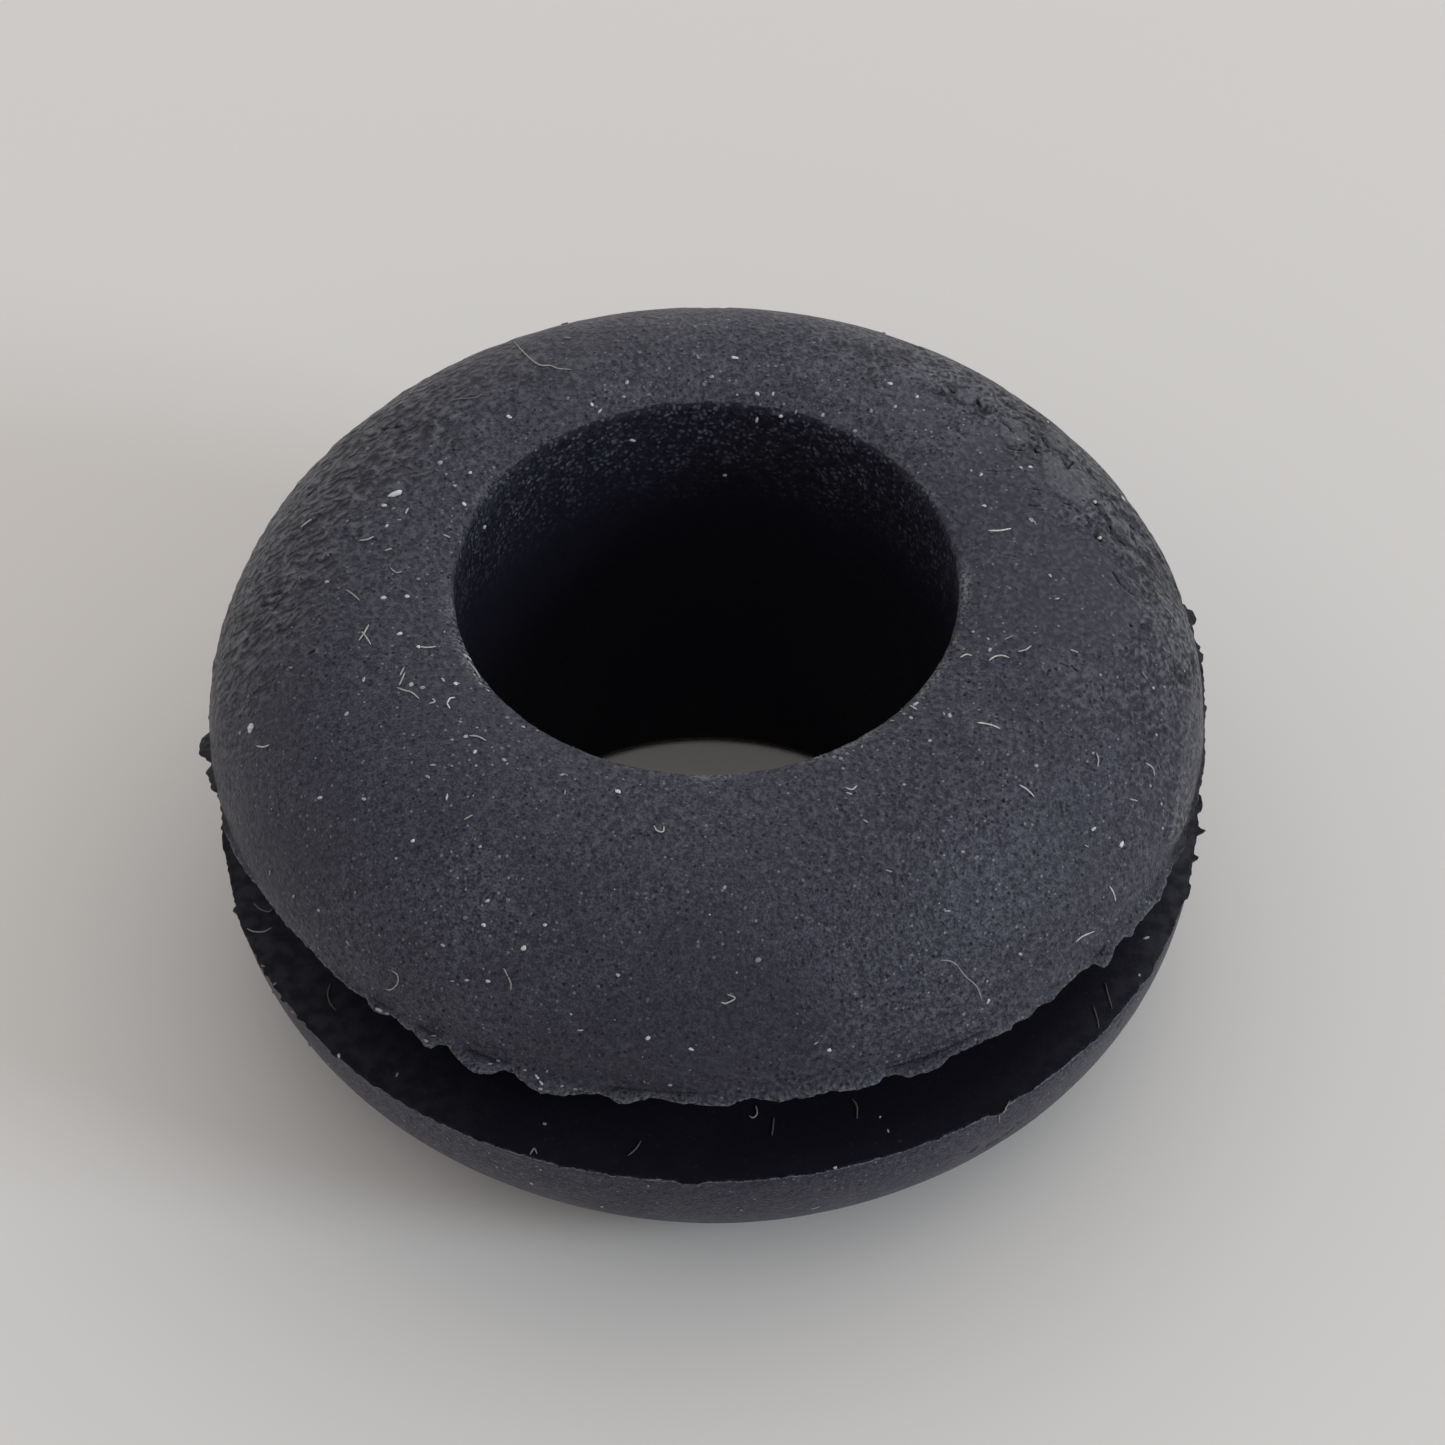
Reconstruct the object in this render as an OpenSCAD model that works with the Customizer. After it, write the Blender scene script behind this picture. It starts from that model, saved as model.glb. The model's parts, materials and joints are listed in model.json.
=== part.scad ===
// Rubber grommet: a one-piece moulded ring that lines a hole in a panel.
// The panel's edge sits in the groove round its waist, and a cable or tube
// passes through the bore. Both flanges are alike: rounded outside, slightly
// dished towards the bore. Torn moulding flash stands out where the two
// flanges meet the groove. All sizes in millimetres, +Z along the bore, with
// the origin on the bore's axis where the lower flange rests.

/* [Bore] */
// Diameter of the hole that the cable passes through
bore_d = 9.5; // [7:0.1:11.4]
// Radius moulded on the rim at each end of the bore
rim_edge_r = 0.15; // [0.05:0.01:0.2]

/* [Flanges] */
// Outside diameter of both flanges
outer_d = 19; // [17:0.1:23]
// Height of one flange, from the groove's side face to its crown
flange_h = 3.65; // [3:0.05:4.4]
// Radius of the round from the lip up to the crown
flange_round_r = 3.65; // [2:0.05:4.4]
// Width of the flat ring on the crown, which the grommet rests on
crown_flat = 0.3; // [0.1:0.05:0.5]
// How far the bore's rim lies below the crown
rim_drop = 0.13; // [0.05:0.01:0.3]

/* [Groove] */
// Diameter at the groove's root, which is the size of the panel's hole
groove_d = 12.7; // [12:0.1:15.2]
// Width of the groove, for the panel's thickness
groove_w = 2.5; // [1:0.1:3.2]
// Radius in the corners at the groove's root
groove_root_r = 0.3; // [0.1:0.05:0.45]

/* [Moulding flash] */
// Thickness of the thin fin that the mould left on each lip
flash_t = 0.1; // [0.05:0.01:0.2]
// Least reach of the fin past the lip, where it tore off short
flash_stub = 0.03; // [0.01:0.01:0.1]
// Unevenness of the torn edge
flash_jag = 0.08; // [0.02:0.01:0.2]
// Reach of the longest flap that is still hanging on
flash_flap = 0.42; // [0.1:0.02:0.6]

/* [Hidden] */
$fn = 96;

rubber = [0.19, 0.19, 0.21];
bore_r = bore_d / 2;
outer_r = outer_d / 2;
groove_r = groove_d / 2;
// heights of the groove's two side faces
lower_face_z = flange_h;
upper_face_z = flange_h + groove_w;

// The outer round and the groove's fillets stop at the walls that they are on.
least_dish_w = 0.4;
round_r = min(flange_round_r, flange_h, outer_r - bore_r - crown_flat - least_dish_w);
root_r = min(groove_root_r, groove_w / 2, outer_r - groove_r);

// The crown's flat ring runs from the dish to the outer round. The dish is an
// arc that leaves the flat ring level and meets the bore rim_drop lower down.
crown_outer_r = outer_r - round_r;
crown_inner_r = crown_outer_r - crown_flat;
dish_w = crown_inner_r - bore_r;
dish_r = (dish_w * dish_w + rim_drop * rim_drop) / (2 * rim_drop);

// The rim's round touches the bore's wall and the dish from inside. dish_lean
// is the angle from upright of the line to where it touches the dish.
rim_r = min(rim_edge_r, dish_w / 2);
rim_x = bore_r + rim_r;
dish_z = flange_h - dish_r;
rim_z = dish_z + sqrt(pow(dish_r - rim_r, 2) - pow(crown_inner_r - rim_x, 2));
dish_lean = atan2(crown_inner_r - rim_x, rim_z - dish_z);
clear = 1;

// What is left of the flash: [first angle, last angle, share of the longest
// flap]. Angles run anticlockwise from +X, seen from above.
upper_flaps = [
    [1, 6, 0.2], [6.5, 12, 0.45], [12.5, 18, 0.6], [165, 170, 0.25],
    [182.5, 187, 0.45], [188.5, 193.5, 0.25], [228, 234, 0.45], [235, 240.5, 0.7],
    [241, 250, 1.0], [250.5, 257, 0.95], [257.5, 264, 0.7], [275, 279, 0.3],
    [283, 288, 0.6], [290.5, 297, 0.85], [317, 322, 0.25], [335, 343.5, 1.0],
    [344, 347.5, 0.4]
];
lower_flaps = [
    [200, 203, 0.2], [210, 214, 0.3], [233, 236, 0.3], [264, 271, 0.4],
    [305, 309, 0.3], [331, 335, 0.25]
];
// a flap rises to its reach over this angle at each end
flap_rise = 1.5;
// angle between two points of the torn edge
tear_step = 2.5;
tear_points = 360 / tear_step;
// the fin starts this far inside the lip
flash_root = 0.4;
upper_seed = 7;
lower_seed = 23;

// One flap's own reach at angle a
function flap_reach(flap, a) =
    flash_flap * flap[2] * max(0, min(1, (a - flap[0]) / flap_rise, (flap[1] - a) / flap_rise));

// Reach of the torn edge past the lip at point i of the outline
function reach(i, flaps, jags) =
    flash_stub + flash_jag * jags[i] * jags[i]
    + max([for (f = flaps) flap_reach(f, i * tear_step)]);

// A quarter of the fillet that fills an inner corner at the origin, towards +X +Y
module corner_fill(r) {
    difference() {
        square(r);
        translate([r, r]) circle(r);
    }
}

// Section of one flange from the bore outwards, with z = 0 at the groove's side face
module flange_section() {
    // outside the crown: the outer round, on a straight lip if the round is the smaller
    intersection() {
        translate([crown_outer_r, flange_h - round_r]) circle(round_r);
        translate([crown_outer_r, flange_h - round_r]) square(round_r);
    }
    if (round_r < flange_h)
        translate([crown_outer_r, 0]) square([round_r, flange_h - round_r]);
    // the crown's flat ring
    translate([crown_inner_r, 0]) square([crown_flat, flange_h]);
    // inside the crown: a block less what the dish and the rim's round take off
    difference() {
        translate([bore_r, 0]) square([dish_w, flange_h]);
        difference() {
            translate([bore_r, flange_h - rim_drop]) square([dish_w, rim_drop]);
            translate([crown_inner_r, dish_z]) circle(dish_r);
        }
        polygon([
            [rim_x, rim_z],
            [bore_r - clear, rim_z],
            [bore_r - clear, flange_h + clear],
            [rim_x - tan(dish_lean) * (flange_h + clear - rim_z), flange_h + clear]
        ]);
    }
    translate([rim_x, rim_z]) circle(rim_r);
}

// The whole section from the rest plane up, on the +X side of the axis
module section() {
    translate([0, upper_face_z]) flange_section();
    translate([0, lower_face_z]) mirror([0, 1]) flange_section();
    translate([bore_r, lower_face_z]) square([groove_r - bore_r, groove_w]);
    translate([groove_r, lower_face_z]) corner_fill(root_r);
    translate([groove_r, upper_face_z]) mirror([0, 1]) corner_fill(root_r);
}

// Thin fin of torn flash round one lip, from z = 0 up. It runs from inside the flange.
module torn_flash(flaps, seed) {
    jags = rands(0, 1, tear_points, seed);
    linear_extrude(flash_t) difference() {
        polygon([for (i = [0 : tear_points - 1])
            (outer_r + reach(i, flaps, jags)) * [cos(i * tear_step), sin(i * tear_step)]]);
        circle(outer_r - flash_root);
    }
}

module grommet() {
    color(rubber) union() {
        rotate_extrude() section();
        translate([0, 0, upper_face_z]) torn_flash(upper_flaps, upper_seed);
        translate([0, 0, lower_face_z - flash_t]) torn_flash(lower_flaps, lower_seed);
    }
}

grommet();
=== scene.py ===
"""Rubber grommet: one moulded ring with torn flash on both lips, and the dust and lint on it.

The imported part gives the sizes. The ring is built here as one closed mesh from its section,
refined where the moulded skin is rough, and then pressed with wrinkles, pits and cracks.
"""
import itertools
import json
import math
import random

import bmesh
import bpy
import numpy as np
from mathutils import Matrix, Vector
from mathutils.bvhtree import BVHTree


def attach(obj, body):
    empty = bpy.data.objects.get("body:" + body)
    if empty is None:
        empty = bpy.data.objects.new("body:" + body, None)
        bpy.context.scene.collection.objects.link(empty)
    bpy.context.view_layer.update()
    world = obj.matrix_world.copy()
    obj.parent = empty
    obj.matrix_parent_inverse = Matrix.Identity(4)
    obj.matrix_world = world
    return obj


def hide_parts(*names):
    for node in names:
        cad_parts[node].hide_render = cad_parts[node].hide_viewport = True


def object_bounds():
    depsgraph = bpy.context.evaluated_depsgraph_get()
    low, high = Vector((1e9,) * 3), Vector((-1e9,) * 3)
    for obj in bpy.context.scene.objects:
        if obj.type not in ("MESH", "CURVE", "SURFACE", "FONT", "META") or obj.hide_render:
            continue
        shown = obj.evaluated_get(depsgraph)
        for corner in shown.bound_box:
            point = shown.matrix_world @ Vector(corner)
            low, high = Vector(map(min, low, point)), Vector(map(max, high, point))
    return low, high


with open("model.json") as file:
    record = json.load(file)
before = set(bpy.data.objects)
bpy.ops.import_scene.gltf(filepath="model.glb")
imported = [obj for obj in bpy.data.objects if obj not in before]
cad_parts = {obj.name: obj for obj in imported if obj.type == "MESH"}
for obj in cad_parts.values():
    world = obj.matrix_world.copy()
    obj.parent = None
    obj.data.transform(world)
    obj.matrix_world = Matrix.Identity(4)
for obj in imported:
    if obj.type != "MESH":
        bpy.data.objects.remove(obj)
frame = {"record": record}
cad_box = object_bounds()

MM = 0.001
FULL_TURN = 2 * math.pi

# ---------------------------------------------------------------- sizes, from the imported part
mounts = {mount["name"]: mount for mount in frame["record"]["mounts"]}
BORE_R = mounts["bore"]["dims"]["r_mm"] * MM
LOWER_FACE_Z = mounts["groove_lower_side"]["pos_m"][2]
UPPER_FACE_Z = mounts["groove_upper_side"]["pos_m"][2]
HEIGHT = cad_box[1].z
FLANGE_H = LOWER_FACE_Z
MIDDLE_Z = HEIGHT / 2

# the crown's flat ring, whose middle is at rest_ring
CROWN_FLAT = 0.3 * MM
CROWN_OUTER_R = mounts["rest_ring"]["pos_m"][0] + CROWN_FLAT / 2
CROWN_INNER_R = CROWN_OUTER_R - CROWN_FLAT
OUTER_R = CROWN_OUTER_R + FLANGE_H
# sizes that the record doesn't give
RIM_DROP = 0.13 * MM
RIM_ROUND = 0.15 * MM
GROOVE_R = 6.35 * MM
ROOT_ROUND = 0.3 * MM
# the fin of flash on each lip: its thickness at its root and at its torn edge
FIN_ROOT_T = 0.09 * MM
FIN_EDGE_T = 0.035 * MM
# how far inside the lip the fin's root lies
FIN_ROOT_IN = 0.012 * MM

# ---------------------------------------------------------------- camera
# the frame is this many pixels across and down, and the crown's centre lies here in it
FRAME_PX = 1445
CROWN_AT = (706.5, 580.4)
# the scale there
PIXELS_PER_METRE = 53250.0
CAMERA_DISTANCE = 136.8 * MM
CAMERA_ELEVATION = math.radians(46.38)
FOCAL_PIXELS = PIXELS_PER_METRE * CAMERA_DISTANCE
# the sensor's width, in the millimetres that the lens is given in
SENSOR = 36.0


def through_pixel(across, down):
    """The direction from the camera through one pixel of the frame, in the camera's own axes."""
    return Vector(((across - FRAME_PX / 2) / FOCAL_PIXELS, -(down - FRAME_PX / 2) / FOCAL_PIXELS, -1))


def make_camera():
    """A camera that holds the crown's centre at CROWN_AT, seen CAMERA_ELEVATION above level from -Y."""
    camera = bpy.data.objects.new("camera", bpy.data.cameras.new("camera"))
    bpy.context.scene.collection.objects.link(camera)
    camera.data.sensor_width = SENSOR
    camera.data.lens = FOCAL_PIXELS / FRAME_PX * SENSOR
    camera.data.clip_start = 1 * MM
    camera.data.clip_end = 10.0
    look = Vector((0, math.cos(CAMERA_ELEVATION), -math.sin(CAMERA_ELEVATION)))
    camera.location = Vector((0, 0, HEIGHT)) - look * CAMERA_DISTANCE
    to_axis = through_pixel(*CROWN_AT).rotation_difference(Vector((0, 0, -1)))
    camera.rotation_mode = "QUATERNION"
    camera.rotation_quaternion = look.to_track_quat("-Z", "Y") @ to_axis
    bpy.context.scene.camera = camera
    bpy.context.view_layer.update()
    return camera


camera = make_camera()


def in_frame(points):
    """Where points (n, 3) fall in the frame, as (n, 2) pixels from its top left corner."""
    to_camera = np.array(camera.matrix_world.inverted())
    local = points @ to_camera[:3, :3].T + to_camera[:3, 3]
    across = FRAME_PX / 2 + FOCAL_PIXELS * local[:, 0] / -local[:, 2]
    down = FRAME_PX / 2 - FOCAL_PIXELS * local[:, 1] / -local[:, 2]
    return np.stack([across, down], axis=1)


def sight_line(across, down):
    """The camera's place and the direction through one pixel of the frame."""
    direction = camera.matrix_world.to_3x3() @ through_pixel(across, down)
    return camera.matrix_world.translation, direction.normalized()


# ---------------------------------------------------------------- noise for shapes
# large odd numbers that scatter a cell's place, its seed and the first result over all the bits
CELL_SCATTER = np.array([374761393, 668265263, 1440662683])
SEED_SCATTER = 1274126177
NEXT_SCATTER = 1103515245
BITS_MIXED = 0xFFFFFFFF
BITS_KEPT = 0xFFFFFF


def fixed_random(cells, seed):
    """A number from 0 to 1 for each whole-number cell (n, 3), the same on every run."""
    mixed = (cells.astype(np.int64) @ CELL_SCATTER + seed * SEED_SCATTER) & BITS_MIXED
    mixed = ((mixed ^ (mixed >> 13)) * NEXT_SCATTER) & BITS_MIXED
    return ((mixed ^ (mixed >> 16)) & BITS_KEPT) / BITS_KEPT


def soft_noise(points, cell, seed):
    """Smooth noise from -1 to 1, whose bumps are about as long as cell: one length, or one for each axis."""
    scaled = points / cell
    corner = np.floor(scaled)
    blend = scaled - corner
    blend = blend * blend * (3 - 2 * blend)
    total = np.zeros(len(points))
    for step in itertools.product((0, 1), repeat=3):
        weight = np.prod(np.where(step, blend, 1 - blend), axis=1)
        total += weight * fixed_random(corner + step, seed)
    return 2 * total - 1


def ramp(value, low, high):
    """0 below low, 1 above high, and a smooth step between them."""
    share = np.clip((value - low) / (high - low), 0, 1)
    return share * share * (3 - 2 * share)


# ---------------------------------------------------------------- the ring's section
# columns of faces round the axis: on the dome, on the torn flash and on what is plain
DOME_COLUMNS = 480
TORN_COLUMNS = 2 * DOME_COLUMNS
PLAIN_COLUMNS = DOME_COLUMNS // 2
UPRIGHT = math.pi / 2
# the ring's material slots
SKIN, GROOVE, BORE = range(3)


def arc(centre, radius, start, end, steps):
    """Points of an arc in the section, from the angle start to end, both included."""
    angles = np.linspace(start, end, steps + 1)
    return [(centre[0] + radius * math.cos(a), centre[1] + radius * math.sin(a)) for a in angles]


def line(start, end, steps):
    """Points of a straight stretch in the section, without its two ends."""
    shares = np.linspace(0, 1, steps + 1)[1:-1]
    return [(start[0] + s * (end[0] - start[0]), start[1] + s * (end[1] - start[1])) for s in shares]


def flange_dome(steps):
    """The upper flange's outer round, from just above the lip to the crown."""
    start = math.asin(FIN_ROOT_T / FLANGE_H)
    return arc((CROWN_OUTER_R, UPPER_FACE_Z), FLANGE_H, start, UPRIGHT, steps)


def flange_crown(dish_steps, rim_steps):
    """The upper flange from the crown's flat ring over the dish to the end of the rim's round."""
    flat = line((CROWN_OUTER_R, HEIGHT), (CROWN_INNER_R, HEIGHT), steps=3)
    dish_w = CROWN_INNER_R - BORE_R
    dish_r = (dish_w ** 2 + RIM_DROP ** 2) / (2 * RIM_DROP)
    dish_z = HEIGHT - dish_r
    rim_x = BORE_R + RIM_ROUND
    rim_z = dish_z + math.sqrt((dish_r - RIM_ROUND) ** 2 - (CROWN_INNER_R - rim_x) ** 2)
    lean = math.atan2(CROWN_INNER_R - rim_x, rim_z - dish_z)
    dish = arc((CROWN_INNER_R, dish_z), dish_r, UPRIGHT, UPRIGHT + lean, dish_steps)
    rim = arc((rim_x, rim_z), RIM_ROUND, UPRIGHT + lean, math.pi, rim_steps)
    # the dish's last stretch is cut finer, because the powder on the rim ends there
    return flat + dish[:-1] + line(dish[-2], dish[-1], steps=3) + rim


def mirrored(points):
    """The same stretch of section on the lower flange, in the opposite order."""
    return [(r, HEIGHT - z) for r, z in reversed(points)]


# ---------------------------------------------------------------- torn flash on the lips
# The torn edge of the upper lip's flash, from the left round the front to the right, in pixels
# of the frame.
UPPER_TEAR = [
    (214, 722), (211.5, 732), (200.5, 740), (199, 755), (205.5, 757), (207, 762), (213, 761),
    (212, 766), (205, 772), (210, 780), (211.5, 791), (222, 795), (220, 806), (223, 825),
    (230, 845), (236, 858), (244.5, 870), (261, 893), (270, 905), (283, 921), (300, 940), (320, 961),
    (340, 981), (357, 995), (367, 1000), (370, 1008), (377, 1013), (386, 1016), (390, 1015),
    (396, 1019), (404, 1029), (412, 1031), (420, 1040), (424, 1049), (431, 1050), (438, 1046),
    (446, 1046), (454, 1055), (463, 1065), (474, 1073), (489, 1075), (504, 1070), (514, 1073),
    (520, 1081), (530, 1088), (541, 1094), (560, 1095), (585, 1095), (600, 1095), (609, 1098),
    (618, 1104), (632, 1102), (648, 1099), (662, 1099), (672, 1102), (685, 1105), (712, 1106),
    (733, 1106), (739, 1102), (752, 1099), (763, 1101), (780, 1103), (795, 1098), (806, 1099),
    (815, 1096), (830, 1092), (850, 1092), (864, 1089), (878, 1084), (885, 1077), (894, 1075),
    (909, 1078), (924, 1074), (939, 1068), (950, 1058), (965, 1050), (980, 1043), (996, 1036),
    (1010, 1030), (1016, 1023), (1028, 1018), (1040, 1006), (1053, 1001), (1063, 989),
    (1080, 973), (1092, 965), (1097, 964), (1100, 970), (1107, 968), (1112, 960), (1115, 949),
    (1124, 937), (1133, 937), (1135, 930), (1147, 913), (1161, 899), (1166, 883), (1173, 867),
    (1180, 853), (1186, 847), (1187, 824), (1198, 805), (1199, 792), (1202, 784), (1205, 764),
    (1205, 727), (1206, 714), (1208, 709), (1205, 704), (1205, 690), (1204, 680), (1203, 672),
    (1201, 664), (1204, 660), (1204, 654), (1200, 652), (1201, 648), (1197, 644), (1195, 640),
    (1193, 630), (1191, 626), (1197, 623), (1195, 616), (1192, 611), (1187, 610), (1184, 604),
    (1181, 600),
]
# Where the flash stands out level and leaves a crease against the dome, painted with shade: first and last
# pixel across the frame, how far from level it still droops, in degrees, and how much shade is painted over
# the whole flap.
LEVEL_FLAPS = [
    (195, 235, 5, 0.85), (368, 396, 0, 0), (412, 446, 12, 0), (462, 520, 8, 0), (604, 700, 15, 0),
    (880, 990, 10, 0.35), (1090, 1110, 5, 0), (1165, 1210, 10, 0.85),
]
# elsewhere it hangs down by this much, and the two blend over this many pixels
HANGING_DROOP = math.radians(62)
LEVEL_BLEND_PX = 8
# the lower lip's flash droops less
LOWER_DROOP = math.radians(15)
# Flash on the far side of the upper lip, and all round the lower lip: first and last angle in
# degrees anticlockwise from +X, and its reach in mm.
FAR_FLAPS = [
    (19, 20.5, 0.07), (24, 29, 0.05), (38, 41, 0.12), (43, 47, 0.08), (55, 56.5, 0.22), (71, 78, 0.07),
    (84, 90, 0.06), (96, 98, 0.18), (112, 120, 0.07), (131, 132.5, 0.16), (149, 153, 0.06),
    (160, 161, 0.10), (170, 172, 0.07),
]
LOWER_FLAPS = [
    (184, 185, 0.05), (196.8, 198.2, 0.06), (199.4, 200.8, 0.03), (205.3, 206.2, 0.03),
    (207.4, 208.6, 0.05), (209.8, 211, 0.05), (211.8, 212.9, 0.09), (215, 216.5, 0.05), (222, 223.5, 0.06),
    (236, 237, 0.05), (248, 249, 0.06), (253, 254, 0.05), (266.6, 269.8, 0.09), (282.5, 283.6, 0.05),
    (293, 294, 0.05), (303.5, 306.5, 0.12), (320, 321, 0.05), (331, 333, 0.06), (344, 347, 0.07),
    (350.3, 351.4, 0.15), (354.4, 355.7, 0.17), (357.8, 361, 0.11), (-1, 1, 0.11), (4, 5, 0.07),
    (20, 22, 0.09), (40, 41.5, 0.08), (63, 66, 0.13), (88, 92, 0.06), (101, 103, 0.10), (118, 119, 0.07),
    (140, 143, 0.10), (166, 168, 0.08), (177, 179, 0.10),
]
# between the flaps the flash is a stub with jags: higher where the reach is listed, lower where it
# follows UPPER_TEAR
STUB_REACH = 0.02 * MM
JAG_REACH = 0.05 * MM
LISTED_JAGS, TRACED_JAGS = 1.2, 0.9
# a flap reaches at least this share of what is listed, and its jags add up to this share more
FLAP_LEAST, FLAP_JAGS = 0.75, 0.5
# a flap rises to its reach over this angle at each end, in degrees
FLAP_RISE = 0.5
# the edge's finest crumbling, and how wide the worn rim along it is
CRUMB_REACH = 0.018 * MM
TORN_RIM_W = 0.04 * MM
# how far along its reach each of a fin's rings is
FIN_SHARES = (0.14, 0.5, 0.8, 1.0)
# painted shade for a crease where the flash is level: how dark the first two of them are painted, and the
# dome's lowest ring
CREASE_SHADES = (0.9, 0.1)
DOME_CREASE_SHADE = 0.3
# the crumples of a flap: their height and length, first the coarse ones
CRUMPLE, CRUMPLE_L = 0.035 * MM, 0.3 * MM
FINE_CRUMPLE, FINE_CRUMPLE_L = 0.018 * MM, 0.09 * MM
# how worn a torn edge is, and how worn level flash is all over, as a share of that
EDGE_WEAR, LEVEL_WEAR = 0.75, 0.55
# the upper lip's flash follows UPPER_TEAR from the first angle, on the left, to the second
TEAR_FROM, TEAR_TO = 0.99 * math.pi, 0.3
# and flash stands out level only as far back as this
LEVEL_TO_Y = 0.35 * OUTER_R
# the flash is nowhere shorter than this
LEAST_REACH = 0.004 * MM
# a bend smaller than this is drawn straight, in radians
LEAST_BEND = 1e-3
# how far behind the lip the torn edge may be met, in mm
BEHIND_LIP = 0.05
# lines that enclose less than this are parallel
PARALLEL = 1e-9
# how unevenly the upper lip's flash droops
DROOP_UNEVEN = 0.25
# the places in a ring's points of how worn each is and how much crease shade is painted on it
WORN, CREASE_SHADE_AT = 3, 4
# the groove's side faces are clean from this far inside the lips
CLEAN_FROM = 0.05 * MM


def columns_round(columns):
    """The angle of each column round the axis, from +X."""
    return np.arange(columns) * FULL_TURN / columns


def outward(angles):
    """Level directions away from the axis, (n, 3)."""
    return np.stack([np.cos(angles), np.sin(angles), np.zeros_like(angles)], axis=1)


def jags(angles, seed):
    """Short unevenness of a torn edge, from 0 to 1 and mostly small."""
    ring = outward(angles) * OUTER_R
    return np.abs(soft_noise(ring, 0.16 * MM, seed) * soft_noise(ring, 0.6 * MM, seed + 1))


def listed_reach(angles, flaps, seed):
    """Reach of flash that a list of flaps gives, with a short torn stub between them."""
    degrees = np.degrees(angles)
    reach = np.zeros_like(angles)
    for first, last, longest in flaps:
        inside = np.minimum(degrees - first, last - degrees) / FLAP_RISE
        reach = np.maximum(reach, longest * MM * np.clip(inside, 0, 1))
    crumbs = CRUMB_REACH * soft_noise(outward(angles) * OUTER_R, 0.08 * MM, seed + 9)
    flaps_out = reach * (FLAP_LEAST + FLAP_JAGS * jags(angles, seed))
    torn = STUB_REACH + flaps_out + LISTED_JAGS * JAG_REACH * jags(angles, seed + 5)
    return np.maximum(torn + crumbs, LEAST_REACH)


def curled(length, droop):
    """How far out and down that length of flash ends, when it bends evenly to droop."""
    bend = np.maximum(droop, LEAST_BEND)
    return length * np.sin(bend) / bend, length * (1 - np.cos(bend)) / bend


def crossing(start, toward, outline):
    """How far along start..toward, as shares of that step, the line first meets the outline, which
    may lie a little behind the start."""
    step = toward - start
    best = None
    for a, b in zip(outline[:-1], outline[1:]):
        edge = b - a
        across = step[0] * edge[1] - step[1] * edge[0]
        if abs(across) < PARALLEL:
            continue
        gap = a - start
        along = (gap[0] * edge[1] - gap[1] * edge[0]) / across
        share = (gap[0] * step[1] - gap[1] * step[0]) / across
        if 0 <= share <= 1 and -BEHIND_LIP < along < 1 and (best is None or along < best):
            best = along
    return best


def upper_flash(angles):
    """Reach and droop of the upper lip's flash at each angle, how far it stands level and how much shade is
    painted over it.
    """
    lip = outward(angles) * OUTER_R + [0, 0, UPPER_FACE_Z]
    seen_at = in_frame(lip)
    level = np.zeros_like(angles)
    painted_shade = np.zeros_like(angles)
    droop = HANGING_DROOP * (1 + DROOP_UNEVEN * soft_noise(lip, 1.1 * MM, seed=31))
    for first, last, tilt, shade_strength in LEVEL_FLAPS:
        inside = np.minimum(seen_at[:, 0] - first, last - seen_at[:, 0]) / LEVEL_BLEND_PX
        share = ramp(inside, 0, 1) * (lip[:, 1] < LEVEL_TO_Y)
        droop = droop * (1 - share) + math.radians(tilt) * share
        level = np.maximum(level, share)
        painted_shade = np.maximum(painted_shade, shade_strength * share)
    out, down = curled(1.0, droop)
    along_flash = outward(angles) * out[:, None] - np.array([0, 0, 1]) * down[:, None]
    one_mm_on = in_frame(lip + along_flash * MM)
    outline = np.array(UPPER_TEAR, float)
    far_side = listed_reach(angles, FAR_FLAPS, seed=41)
    reach = np.empty_like(angles)
    for i in range(len(angles)):
        seen = None
        if seen_at[i, 1] > UPPER_TEAR[-1][1] and (angles[i] > TEAR_FROM or angles[i] < TEAR_TO):
            seen = crossing(seen_at[i], one_mm_on[i], outline)
        reach[i] = far_side[i] if seen is None else max(seen * MM, STUB_REACH * 0.5)
    reach += TRACED_JAGS * JAG_REACH * jags(angles, seed=47)
    reach += CRUMB_REACH * soft_noise(lip, 0.07 * MM, seed=53)
    return np.maximum(reach, LEAST_REACH), droop, level, painted_shade


def lower_flash(angles):
    """Reach and droop of the lower lip's flash: it lies nearly level, in the groove's side face."""
    ring = outward(angles) * OUTER_R
    droop = LOWER_DROOP * (1 + soft_noise(ring, 0.9 * MM, seed=67))
    nothing = np.zeros_like(angles)
    return listed_reach(angles, LOWER_FLAPS, seed=61), droop, nothing, nothing


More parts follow.
